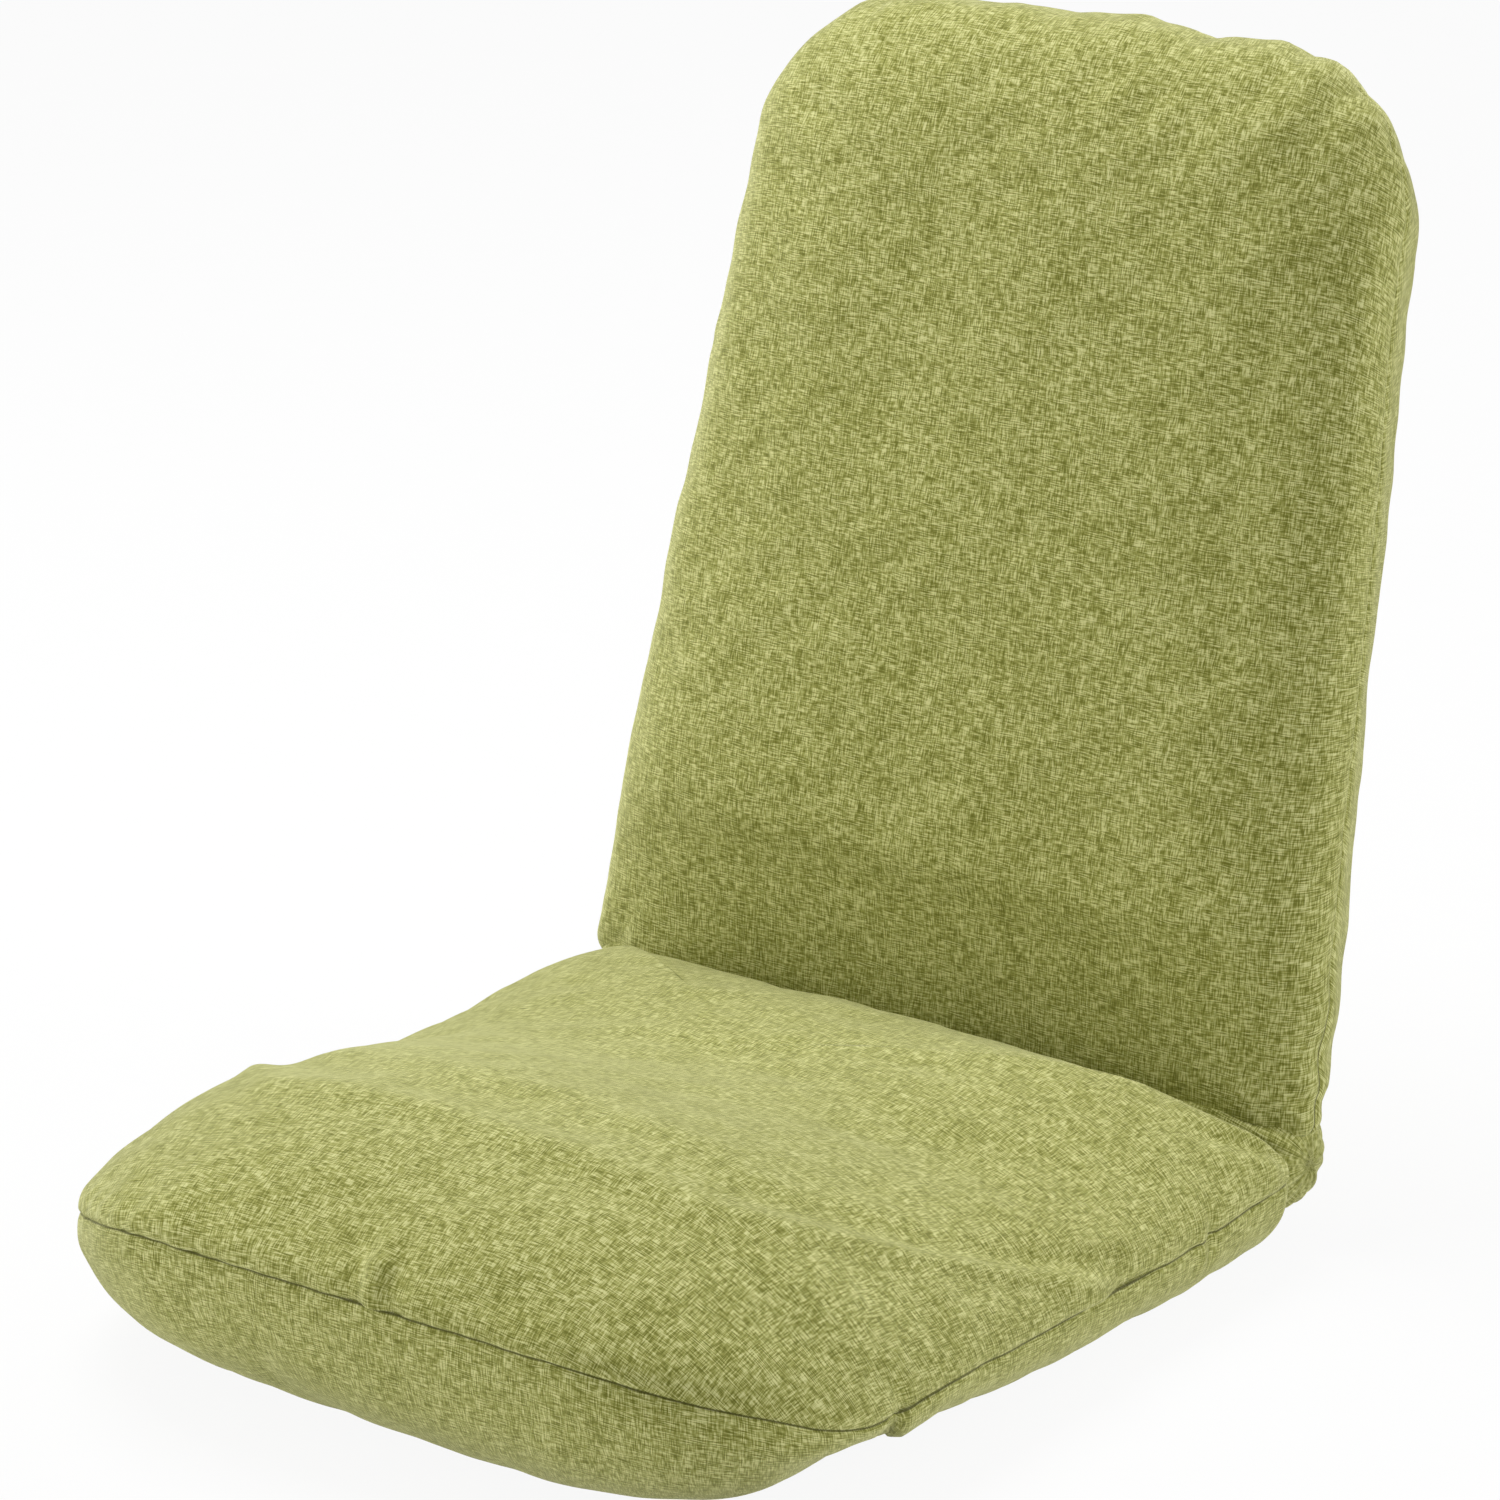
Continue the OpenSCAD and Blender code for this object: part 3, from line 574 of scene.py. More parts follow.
def tape_material(looks):
    """Fine twill tape beside a plastic coil"""
    m = Shader(bpy.data.materials.new("zip_tape"))
    x, y, z = m.split(m.place())
    twill = ((x + z * 0.9) * (math.pi / 0.6)).sine()
    shade = m.noise(m.stretched(x / 6, y / 2, z / 2), 1.0, 3.0)
    dark, mid = linear(looks.yarn_dark), linear(looks.yarn_mid)
    m.set(Base_Color=m.ramp(shade + twill * 0.12, [(0.1, dark), (0.5, mid)]), Roughness=0.8,
          Normal=m.bump(twill, 0.00015, 0.7))
    return m.material


def coil_material(looks):
    """Dyed plastic, slightly glossy"""
    m = Shader(bpy.data.materials.new("zip_coil"))
    where = m.place()
    shade = m.noise(where, 300.0, 2.0)
    dark, mid = linear(looks.yarn_dark), linear(looks.yarn_mid)
    m.set(Base_Color=m.ramp(shade, [(0.3, dark), (0.8, mid)]), Roughness=(0.32 + shade * 0.15))
    return m.material


def floor_material():
    """A pale plain floor that keeps the shadow, and is nearly white to the camera"""
    m = Shader(bpy.data.materials.new("pale_floor"))
    grain = m.noise(m.place(), 40.0, 3.0)
    m.set(Base_Color=m.ramp(grain, [(0.3, grey(0.88)), (0.7, grey(0.91))]), Roughness=0.9,
          Specular_IOR_Level=0.1)
    plain = m.node("ShaderNodeEmission", {}, {"Color": (1, 1, 1, 1), "Strength": 1.0})
    lit = Number(m, m.body.outputs[0])
    mixed = m.node("ShaderNodeMixShader", {}, [m.seen() * 0.92, lit, plain])
    m.feed(m.tree.nodes["Material Output"].inputs["Surface"], mixed)
    return m.material


def dressed(piece, material):
    """Gives a piece one material"""
    piece.data.materials.clear()
    piece.data.materials.append(material)
    return piece


# ---------------------------------------------------------------- the seat

SEAT_REAR_R, SEAT_FRONT_R = 9, 108
# Powers of the rolls over the rim: the higher, the squarer
TOP_ROLL, BASE_ROLL = 3.2, 10
SEAM_H, SEAM_RISE, SEAM_RUN = 41, 50, 146
SEAM_WAVES = [(118, 55, -3), (318, 60, 5), (425, 28, 3.5)]
SEAT_H, SEAT_CROWN = 98, 9
NOSE_H, NOSE_FROM, NOSE_TO = 39, 182, 372
CREST_L = 374
# Where the front's cloth laps over the left side's
NOTCH_L = 346
# Below the seam, how deep the cloth's weave runs along the band round the sides
SEAT_BAND = 118

# Ridges and hollows: each row is a centre, a width and a height
CREST = [(0, 12, 2.6), (-28, 17, -2.2)]
HINGE_NIP = [(93, 3.4, -3.0), (101, 4.5, 2.0)]

SEAT_FOLDS = [
    # The pinch in the middle of the front, running back from the seam
    (18, 474, 8, 438, 5, 3.4), (7, 472, -4, 446, 6, -2.8), (29, 474, 20, 446, 6, -1.8),
    (20, 467, -18, 470, 3.5, 2.4),
    # Soft pulls towards the two front corners
    (-60, 476, -80, 430, 9, 0.9), (-98, 472, -122, 420, 8, 1.0), (-84, 474, -104, 424, 7, -0.9),
    (-140, 460, -160, 412, 8, 1.0), (-124, 466, -146, 420, 7, -0.9),
    (112, 470, 124, 428, 8, 0.7), (150, 456, 156, 404, 8, -0.7),
]
HINGE_FOLDS = [
    # Folds that fan out from the hinge corner over the seat's rear roll
    (208, 18, 150, 62, 4.5, -3.0), (209, 24, 160, 80, 5, 2.0), (210, 28, 172, 90, 4, -2.8),
    (211, 36, 186, 104, 6, 1.8),
]


def seat_seam(l):
    """Height of the seat's seam: nearly level along the sides, rising to the front"""
    rise = SEAM_RISE * np.maximum((l - SEAT_L) / SEAM_RUN + 1, 0) ** 2
    return humps(l, SEAM_WAVES, SEAM_H + rise)


def seat_top(x, l):
    """Height of the seat's top before its edges roll down: a hollow, then a raised front"""
    a = 2 * x / SEAT_W
    nose = ramp(l, NOSE_FROM, NOSE_TO)
    # The rear corners lie lower, and the right one, as the sitter sees it, lowest
    low = 5 * ramp(np.abs(x), 140, 200) * ramp(l, 120, 50)
    low += 4.5 * ramp(x, 60, -180) * ramp(l, 85, 25)
    return SEAT_H + SEAT_CROWN * (1 - a * a) + NOSE_H * nose * (1 - 0.3 * a * a) - low


def seat_pad(around, rings):
    """The seat's form before its cloth is blown up"""
    half = rings // 2
    rim = rim_line(SEAT_W / 2, SEAT_W / 2, END_GAP, SEAT_L - SEAT_BOW, SEAT_REAR_R, SEAT_FRONT_R,
                   SEAT_BOW, around)
    # The rear corners reach back beside the hinge
    rim[:, 1] -= 8 * ramp(np.abs(rim[:, 0]), 196, 210) * ramp(rim[:, 1], 70, 25)
    top = ring_sizes(RING_REACH, TOP_RISE, TOP_ROLL, half)
    base = ring_sizes(RING_REACH, BASE_RISE, BASE_ROLL, half)
    size = np.concatenate([top[::-1], base[1:]])[:, None]
    up = np.arange(rings + 1)[:, None] <= half
    xr, lr = rim[None, :, 0], rim[None, :, 1]
    x, l = xr * size, SEAT_HEART + (lr - SEAT_HEART) * size
    seam = seat_seam(lr)
    over = seam + (seat_top(x, l) - seam) * swell(size, TOP_ROLL)
    # Towards the left front corner, as the sitter sees it, the base is tucked in under the seam
    tuck = ramp(xr, 148, 202) * ramp(lr, 150, 330) * ramp(lr, 458, 398)
    side = ramp(lr, 210, 330) * ramp(lr, 356, 350)
    notch = np.where(xr > 150, 1, 0) * ramp(lr, NOTCH_L, 354) * ramp(lr, 425, 375)
    # It is squarer near the left hinge, and rounder at the right of the front
    fuller = 5 * ramp(xr, 150, 190) * ramp(lr, 150, 90)
    rounder = 1.2 * ramp(xr, 0, -60) * ramp(lr, 400, 460)
    roll = BASE_ROLL + fuller - rounder - 4.5 * tuck - 2.6 * tuck * side - 2.6 * notch
    under = np.maximum(seam * (1 - swell(size, roll) ** (1 + 0.35 * notch)) - 0.5, 0)
    z = np.where(up, over, under)
    return Pad("seat_cushion", rim, np.stack([x, l, z], 2),
               lambda p: np.stack([p[..., 0], AXIS_Y - p[..., 1], p[..., 2]], 2))


def seat_detail(pad, sizes):
    """Seam, puckers and folds of the seat"""
    x, l, d, run = pad.points[..., 0], pad.points[..., 1], pad.seam, pad.run[None, :]
    z = pad.world[..., 2] / MM
    top, near = d > 0, np.abs(d)
    # Nothing is raised where the seat rests on the floor
    level = ramp(z, 1, 7)
    offset = seam_valley(near, sizes)
    # The cloth rolls out over the seam, and more so below it round the front corners
    corners = ramp(np.abs(x), 90, 170) * ramp(l, 300, 380)
    offset += np.where(top, 0.9 * hump(d, 9, 7), (0.8 + 1.2 * corners) * hump(d, -14, 12)) - 1.2 * corners
    # The raised front's crest runs back towards the sides
    crest = l - CREST_L + 72 * np.maximum((np.abs(x) - 100) / 78, 0) ** 2.4
    offset += np.where(top, humps(crest, CREST), 0)
    # The stitches pull the cloth a little more here and less there
    offset += 0.4 * ripple(run + 0 * x, d * 0.4, 19, 5) * np.exp(-near / 11)
    offset += np.where(top, 0.8, 0.35) * ripple(x, l, 85, 11) * ramp(near, 0, 30) * level
    offset += 0.3 * ripple(x, l, 34, 12) * ramp(near, 0, 18) * level
    offset += np.where(top, creases(x, l, SEAT_FOLDS) + creases(x, l, HINGE_FOLDS)
                       + 0.4 * creases(-x, l, HINGE_FOLDS), 0)
    # Gathers at the right front corner, as the sitter sees it
    corner = hump(x, -150, 60) * ramp(l, 380, 440)
    offset += np.where(top, 0.8 * np.sin(run / 2.3) * corner * hump(d, 8, 11), 0)
    # On the left side: a fold where the front's cloth laps over the side's, and a nip near the hinge
    lap = 1.2 * ramp(l, 352, 343) * ramp(l, 280, 320) - 2.0 * hump(l, 353, 4)
    offset += np.where(~top & (x > 190), lap * level, 0)
    offset += np.where(x > 190, humps(l, HINGE_NIP) * hump(d, -4, 15), 0)
    offset += np.where(top & (x > 170), -2.4 * hump(l - 0.35 * d, NOTCH_L, 5) * hump(d, 4, 16), 0)
    pad.push(offset)
    # The resting face stays level
    pad.world[..., 2] = np.where(z < 0.02, 0, np.maximum(pad.world[..., 2], 0))


# ---------------------------------------------------------------- the back

BACK_NEAR_R, BACK_FAR_R = 9, 68
BACK_ROLL, FULL_ROLL = 11, 60
# Depth of the back at the hinge, where its front turns full, and where its rear is full
BACK_ROOT = 25.4
LOINS_FROM, LOINS_TO = 24, 118
ROOT_FROM, ROOT_RUN, ROOT_DEPTH = 6, 46, 39.95

# Ridges and hollows: each row is a centre, a width and a height
LOINS_ROLL = [(97, 10, 1.3), (78, 9, -1.2)]
TOP_BUMPS = [(-119, 26, 1.2), (16, 22, 1.0), (101, 20, 2.4), (62, 14, -1.6), (-60, 30, -1.0)]
SIDE_TUCK = [(321, 3.5, -2.2), (330, 6, 1.4)]
HINGE_BULGE = [(66, 11, 1.8), (46, 8, -1.4)]

TOP_FOLDS = [
    (118, 520, 108, 470, 6, -2.2), (134, 514, 128, 462, 6, 1.8), (148, 508, 140, 458, 5, -2.0),
    (162, 498, 150, 452, 6, 1.8), (174, 488, 160, 444, 5, -1.8),
    (-140, 510, -130, 470, 8, 1.4), (-122, 522, -116, 482, 4.5, -2.6), (-108, 522, -40, 510, 5, -1.2),
    (22, 524, 20, 484, 9, 1.5), (-18, 524, -14, 486, 9, -1.1), (66, 524, 62, 486, 9, -1.2),
]
LOW_FOLDS = [
    (209, 22, 168, 50, 5, -1.4), (210, 30, 180, 66, 5, 0.9), (211, 40, 192, 84, 5, -0.9),
]


def back_depth_front(x, l):
    """Depth of the back's front: thin over the hinge, full behind the sitter's loins"""
    a = 2 * x / BACK_LOW
    full = ramp(l, LOINS_FROM, LOINS_TO)
    return BACK_ROOT + (BACK_FRONT + BACK_CROWN * (1 - a * a) - BACK_ROOT) * full


def back_depth_rear(l):
    """Depth of the back's rear: a cubic from the hinge's sleeve out to its full depth"""
    size = np.clip((BACK_HEART - l) / (BACK_HEART - END_GAP), 0, 1)
    full = BACK_REAR * swell(size, BACK_ROLL)
    t = np.clip((l - ROOT_FROM) / ROOT_RUN, 0, 1)
    low = BACK_ROOT * (2 * t**3 - 3 * t**2 + 1) + ROOT_RUN * 0.2 * (t**3 - 2 * t**2 + t) \
        + ROOT_DEPTH * (3 * t**2 - 2 * t**3) + ROOT_RUN * 0.37 * (t**3 - t**2)
    return np.where(l < ROOT_FROM + ROOT_RUN, low, full)


def back_pad(around, rings):
    """The back's form before its cloth is blown up"""
    half = rings // 2
    rim = rim_line(BACK_LOW / 2, BACK_TOP / 2, 3, BACK_L - BACK_BOW, BACK_NEAR_R, BACK_FAR_R,
                   BACK_BOW, around)
    # The cover is drawn in at the top's right corner and at the left side, and stands out at the top's left
    xr, lr = rim[:, 0], rim[:, 1]
    tight = (4 * hump(xr, -160, 50) - 3.2 * hump(xr, 112, 40)) * ramp(lr, 420, 480)
    tight += 2 * hump(lr, 390, 60) * ramp(xr, 150, 180)
    out = rim - np.array([0, 400])
    rim = rim - out / np.linalg.norm(out, axis=1)[:, None] * tight[:, None]
    front, rear = (ring_sizes(RING_REACH, rise, BACK_ROLL, half) for rise in (FRONT_RISE, BACK_REAR))
    size = np.concatenate([front[::-1], rear[1:]])[:, None]
    ahead = np.arange(rings + 1)[:, None] <= half
    xr, lr = rim[None, :, 0], rim[None, :, 1]
    x, l = xr * size, BACK_HEART + (lr - BACK_HEART) * size
    # Sides and top roll over evenly; the lower end stays full until it is inside the hinge's sleeve
    lower = ramp(lr, 30, 6) * np.where(xr > 0, ramp(xr, 213, 187), ramp(xr, -213, -168))
    roll = BACK_ROLL + FULL_ROLL * lower**2
    depth = np.where(ahead, back_depth_front(x, l), back_depth_rear(l)) * swell(size, roll)
    turn = np.array(Matrix.Rotation(-BACK_LEAN, 3, "X"))
    base = np.array([0, AXIS_Y, AXIS.z / MM])
    return Pad("back_cushion", rim, np.stack([x, l, np.where(ahead, depth, -depth)], 2),
               lambda p: np.stack([p[..., 0], -p[..., 2], p[..., 1]], 2) @ turn.T + base)


def back_detail(pad, sizes):
    """Seam, puckers and folds of the back"""
    x, l, d, run = pad.points[..., 0], pad.points[..., 1], pad.seam, pad.run[None, :]
    front, near = d > 0, np.abs(d)
    offset = 0.8 * seam_valley(near, sizes) + 0.4 * hump(near, 7, 5)
    # The cover's sides are drawn in a little, and its rear rolls in from the seam
    offset -= hump(near, 0, 26) * 1.2 * (ramp(l, 40, 240) + hump(l, 400, 70))
    offset += np.where(front, 0, -2.6 * hump(near, 20, 18) * ramp(l, 40, 100))
    offset += 0.4 * ripple(run + 0 * x, d * 0.4, 19, 25) * np.exp(-near / 12)
    offset += 0.8 * ripple(x, l, 95, 21) * ramp(near, 0, 30) * ramp(l, 80, 110)
    offset += 0.3 * ripple(x, l, 36, 22) * ramp(near, 0, 18) * ramp(l, 80, 110)
    # The loins' soft roll across the front
    offset += np.where(front, humps(l, LOINS_ROLL) * ramp(np.abs(x), 190, 130), 0)
    offset += creases(x, l, TOP_FOLDS) * np.where(front, 1, 0.6)
    offset += creases(x, l, LOW_FOLDS)
    # The top edge rises over three soft bumps, and lies lower on the right
    bumps = humps(x, TOP_BUMPS) - 2.2 * ramp(x, 40, -20)
    offset += ramp(l, 470, 510) * bumps * np.exp(-near / 40)
    # A tuck in the right side's seam
    offset += np.where(x < -150, humps(l, SIDE_TUCK), 0) * np.exp(-near / 14)
    # A bulge just over the left hinge's gathers
    offset += np.where(x > 150, humps(l, HINGE_BULGE), 0) * np.exp(-near / 20)
    pad.push(offset)


# ---------------------------------------------------------------- hinge cover

SLEEVE_REACH = 211
# Where the sleeve starts to close, and how its rings stand along its half
CLOSE_FROM, CLOSE_POWER = 190, 2.6
STATIONS = [0, 30, 60, 90, 115, 135, 152, 166, 178, 188, 196, 201.5, 205.5, 208, 209.8, 210.7, SLEEVE_REACH]


def sleeve_radius(x):
    """Radius of the sleeve at a distance from its middle: a little bulge, then its gathered end"""
    past = max(0.0, (x - CLOSE_FROM) / (SLEEVE_REACH - CLOSE_FROM))
    return (SLEEVE_R + 2.4 * hump(x, 184, 16)) * math.sqrt(max(0.0, 1 - past**CLOSE_POWER))


def hinge_sleeve(around):
    """The sleeve of cloth round the hinge, gathered at both ends"""
    bm = bmesh.new()
    line = [-x for x in reversed(STATIONS[1:])] + STATIONS
    verts = [bm.verts.new((x * MM, 0, sleeve_radius(abs(x)) * MM)) for x in line]
    edges = [bm.edges.new(pair) for pair in zip(verts, verts[1:])]
    bmesh.ops.spin(bm, geom=verts + edges, cent=(0, 0, 0), axis=(1, 0, 0), angle=math.tau, steps=around,
                   use_merge=True, use_duplicate=False)
    bmesh.ops.remove_doubles(bm, verts=bm.verts, dist=1e-6)
    bmesh.ops.recalc_face_normals(bm, faces=bm.faces)
    layer = bm.loops.layers.uv.new("weave")
    for face in bm.faces:
        angles = [math.atan2(loop.vert.co.z, loop.vert.co.y) for loop in face.loops]
        for loop, angle in zip(face.loops, angles):
            if max(angles) - min(angles) > math.pi and angle < 0:
                angle += math.tau
            loop[layer].uv = (loop.vert.co.x, angle * SLEEVE_R * MM)
    for v in bm.verts:
        v.co += AXIS
    return object_of("hinge_cover", bm)


def sleeve_detail(piece):
    """Pleats that run in from the sleeve's ends"""
    mesh = piece.data
    co = read(mesh.vertices, "co", 3)
    x = co[:, 0] / MM
    angle = np.arctan2(co[:, 2] - AXIS.z, co[:, 1] - AXIS.y)
    # The pleats grow towards the ends, and are flatter again where the ends close
    ends = ramp(np.abs(x), 120, 186) * (0.3 + 0.7 * ramp(np.abs(x), 209, 183))
    wobble = np.sin(3 * angle + x / 40)
    pleat = np.sin(13 * angle + wobble + np.sign(x)) * ends * 1.3
    pleat = pleat + np.sin(7 * angle - x / 60) * ends * 0.9
    pleat += 0.25 * ripple(x, angle * SLEEVE_R, 30, 31)
    shifted(piece, pleat)
    # The gathers are drawn down to the seat's rear corners
    co = read(mesh.vertices, "co", 3)
    droop = ramp(np.abs(co[:, 0]) / MM, 160, 206)
    co[:, 2] -= 9 * MM * droop
    co[:, 1] += 3 * MM * droop
    mesh.vertices.foreach_set("co", co.ravel())
    mesh.update()


# ---------------------------------------------------------------- zip

# Sizes in millimetres: along the zip from its end, out from the cloth, and up from the zip's middle
TAPE_T, TAPE_PART, TAPE_BEVEL = 0.6, 0.3, 0.2
STITCH_FROM, STITCH_TO, STITCH_OUT = 2.6, 1.9, 0.85
STOP_FROM, STOP_TO, STOP_WIDE, STOP_OUT = 3.5, 0.5, 3.2, 1.5
COIL_START, COIL_PITCH, COIL_HALF, COIL_WIDE, COIL_LOW, COIL_HIGH = 5.5, 1.5, 0.42, 2.0, 0.35, 1.55
COIL_LEAN, COIL_APART = math.radians(14), 0.35
SLIDER_START, SLIDER_LONG, SLIDER_WIDE, SLIDER_LOW, SLIDER_HIGH = 6, 11, 3.4, 1.9, 2.9


def block(bm, lo, hi, bevel, segments=2):
    """A box between two corners, in millimetres, with its edges rounded"""
    made = bmesh.ops.create_cube(bm, size=1.0)["verts"]
    for v in made:
        v.co = Vector([lo[k] + (v.co[k] + 0.5) * (hi[k] - lo[k]) for k in range(3)]) * MM
    edges = list({e for v in made for e in v.link_edges})
    bmesh.ops.bevel(bm, geom=edges, offset=bevel * MM, offset_type="OFFSET", segments=segments,
                    profile=0.5, affect="EDGES", material=-1, clamp_overlap=True)
    return made


def mirrored(side, near, far):
    """The lower and upper end of a stretch on one side, 1 or -1"""
    return sorted((side * near, side * far))


def zip_piece(name, bm, material):
    """A piece of the zip, modelled flat with z up the back and y away from it, where the zip is sewn in"""
    matrix = (Matrix.Translation(AXIS) @ Matrix.Rotation(-BACK_LEAN, 4, "X")
              @ Matrix.Translation((0, ZIP_OUT * MM, ZIP_AT * MM)) @ Matrix.Rotation(-ZIP_SLOPE, 4, "X")
              @ Matrix.Translation((0, ZIP_GAP * MM, 0)))
    bmesh.ops.transform(bm, matrix=matrix, verts=bm.verts)
    return dressed(object_of(name, bm), material)


def tape_mesh():
    """Two tapes, each with a ridge of stitches along its edge, and the bars that end the zip"""
    bm = bmesh.new()
    half, wide = ZIP_LONG / 2, ZIP_WIDE / 2
    for side in (-1, 1):
        lo, hi = mirrored(side, TAPE_PART, wide)
        block(bm, (-half, 0, lo), (half, TAPE_T, hi), TAPE_BEVEL)
        lo, hi = mirrored(side, wide - STITCH_FROM, wide - STITCH_TO)
        block(bm, (-half + 2, 0.5, lo), (half - 2, STITCH_OUT, hi), 0.15, 1)
    for end in (-1, 1):
        lo, hi = mirrored(end, half - STOP_FROM, half - STOP_TO)
        block(bm, (lo, 0.4, -STOP_WIDE), (hi, STOP_OUT, STOP_WIDE), 0.4)
    return bm


def coil_mesh():
    """The coil's turns, meant to lean one way and the other in turn along the zip"""
    bm = bmesh.new()
    for k in range(int((ZIP_LONG - 10) / COIL_PITCH)):
        made = block(bm, (-COIL_HALF, COIL_LOW, -COIL_WIDE), (COIL_HALF, COIL_HIGH, COIL_WIDE), 0.3, 1)
        # Known fault: rounding the edges frees these corners, so nothing is grown from them, no turn
        # is moved, and all turns lie on one another in the middle of the zip
        grown = {v for v in made if v.is_valid}
        todo = list(grown)
        while todo:
            for edge in todo.pop().link_edges:
                for v in edge.verts:
                    if v not in grown:
                        grown.add(v)
                        todo.append(v)
        way = 1 if k % 2 else -1
        along = COIL_START - ZIP_LONG / 2 + k * COIL_PITCH
        place = Matrix.Translation((along * MM, 0, way * COIL_APART * MM))
        lean = Matrix.Rotation(way * COIL_LEAN, 4, "Y")
        bmesh.ops.transform(bm, matrix=place @ lean, verts=list(grown))
    return bm


def slider_mesh(left):
    """The slider's body: a plate, its two cheeks and the bridge that holds the pull"""
    bm = bmesh.new()
    block(bm, (left, SLIDER_LOW, -SLIDER_WIDE), (left + SLIDER_LONG, SLIDER_HIGH, SLIDER_WIDE), 0.45)
    for side in (-1, 1):
        lo, hi = mirrored(side, 2.35, 3.6)
        block(bm, (left + 0.4, 0.95, lo), (left + SLIDER_LONG - 0.4, 2.3, hi), 0.35)
    block(bm, (left + 2.6, 2.7, -1.0), (left + 8.4, 3.9, 1.0), 0.45)
    return bm


def pull_mesh(left):
    """The pull, hanging from the bridge: a neck and a wider tongue"""
    bm = bmesh.new()
    block(bm, (left + 4.4, 3.35, -15.5), (left + 6.8, 4.1, 0.9), 0.3)
    block(bm, (left + 3.5, 3.25, -16.5), (left + 7.7, 4.2, -7.5), 0.4)
    return bm


# ---------------------------------------------------------------- what a user may change

class FloorChairSizes(bpy.types.PropertyGroup):
    """Sizes of the cushions' making"""

    around: IntProperty(name="Meridians", description="Meridians round each cushion", default=480,
                        min=64)
    rings: IntProperty(name="Rings", description="Rings over each cushion, from pole to pole", default=192,
                       min=32)
    seam_depth: FloatProperty(name="Seam depth", description="How deep the seams are drawn in",
                              default=0.0012, subtype="DISTANCE", unit="LENGTH")
    seam_reach: FloatProperty(name="Seam reach", description="Half the width of the valley along a seam",
                              default=0.0015, subtype="DISTANCE", unit="LENGTH")
    voxel: FloatProperty(name="Cloth mesh", description="Mesh size of the cloth that is blown up",
                         default=0.006, subtype="DISTANCE", unit="LENGTH")
    pressure: FloatProperty(name="Pressure", description="Air pressure inside the cushions", default=4.0)
    puff: FloatProperty(name="Puff", description="The most that the air may move the cloth", default=0.007,
                        subtype="DISTANCE", unit="LENGTH")
    give: FloatProperty(name="Give", description="Share of the swelling that the foam inside follows",
                        default=0.45, subtype="FACTOR")
    draw: FloatProperty(name="Draw", description="The most that the cloth may draw in", default=0.0015,
                        subtype="DISTANCE", unit="LENGTH")
    slack: FloatProperty(name="Slack", description="Share by which the cloth is cut larger than its pad",
                         default=0.012, subtype="FACTOR")


class FloorChairLooks(bpy.types.PropertyGroup):
    """Colours and sizes of the cloth"""

    yarn_dark: FloatVectorProperty(name="Dark yarn", description="Colour of the darkest slubs",
                                   subtype="COLOR_GAMMA", size=3, default=(0.45, 0.46, 0.16), min=0, max=1)
    yarn_mid: FloatVectorProperty(name="Yarn", description="Colour of most of the yarn",
                                  subtype="COLOR_GAMMA", size=3, default=(0.645, 0.65, 0.335), min=0, max=1)
    yarn_light: FloatVectorProperty(name="Light yarn", description="Colour of the lightest slubs",
                                    subtype="COLOR_GAMMA", size=3, default=(0.86, 0.86, 0.60), min=0, max=1)
    # The colour of the painted shade along the seams
    seam_shade_colour: FloatVectorProperty(name="Seam", description="Colour deep in the seams",
                                     subtype="COLOR_GAMMA", size=3, default=(0.24, 0.24, 0.02), min=0, max=1)
    thread: FloatProperty(name="Thread pitch", description="From one yarn to the next", default=0.00055,
                          subtype="DISTANCE", unit="LENGTH")
    slub_weft: FloatProperty(name="Weft slubs",
                             description="Length of the slubs across the chair, in millimetres",
                             default=6.0)
    slub_warp: FloatProperty(name="Warp slubs",
                             description="Length of the slubs along the chair, in millimetres",
                             default=4.8)


class FloorChairStage(bpy.types.PropertyGroup):
    """Floor and lamps"""

    floor: FloatProperty(name="Floor", description="Size of the floor", default=12.0, subtype="DISTANCE",
                         unit="LENGTH")
    sky: FloatProperty(name="Sky", description="Strength of the light from all round", default=0.37)
    overhead: FloatProperty(name="Overhead lamp", description="Power of the large lamp overhead",
                            default=33.0, subtype="POWER", unit="POWER")
    front: FloatProperty(name="Front lamp", description="Power of the soft lamp before the chair",
                         default=9.5, subtype="POWER", unit="POWER")
    rear: FloatProperty(name="Rear lamp", description="Power of the soft lamp behind on the right",
                        default=21.0, subtype="POWER", unit="POWER")


# Each lamp's place, what it is aimed at, and its size, in metres
LAMPS = {
    "overhead": ((-0.8, 0.3, 2.05), (0, 0.1, 0.2), 1.3),
    "rear": ((2.0, 1.3, 0.9), (0.1, 0, 0.2), 1.0),
    "front": ((-1.2, -1.7, 0.5), (0, 0.1, 0.2), 0.9),
}
EYE, TARGET = Vector((1.859, -2.530, 1.427)), Vector((0.217, -0.241, 0.393))
LENS, SENSOR = 174.8, 36


def aimed(name, data, place, target):
    """A new object that looks from a place at a target"""
    made = bpy.data.objects.new(name, data)
    made.location = place
    made.rotation_euler = (Vector(target) - Vector(place)).to_track_quat("-Z", "Y").to_euler()
    bpy.context.scene.collection.objects.link(made)
    return made


# ---------------------------------------------------------------- operators

# Within this distance of its seam, in millimetres, the cloth is held while it is blown up,
# and so is what lies lower than this height, in metres, where the seat rests on the floor
HELD, REST = 2.5, 0.0012


def cushion(pad, band, rests, detail, body, nodes):
    """Blows a pad up, gives it its seams and folds, and hands it over as a finished cushion"""
    sizes = bpy.context.scene.floor_chair_sizes
    held = np.abs(pad.seam) < HELD
    if rests:
        held = held | (pad.world[..., 2] < REST)
    inflate(pad, pad.world[held], sizes)
    detail(pad, sizes)
    piece = dressed(pad.piece(band), cover_cloth())
    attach(piece, body)
    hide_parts(*nodes)


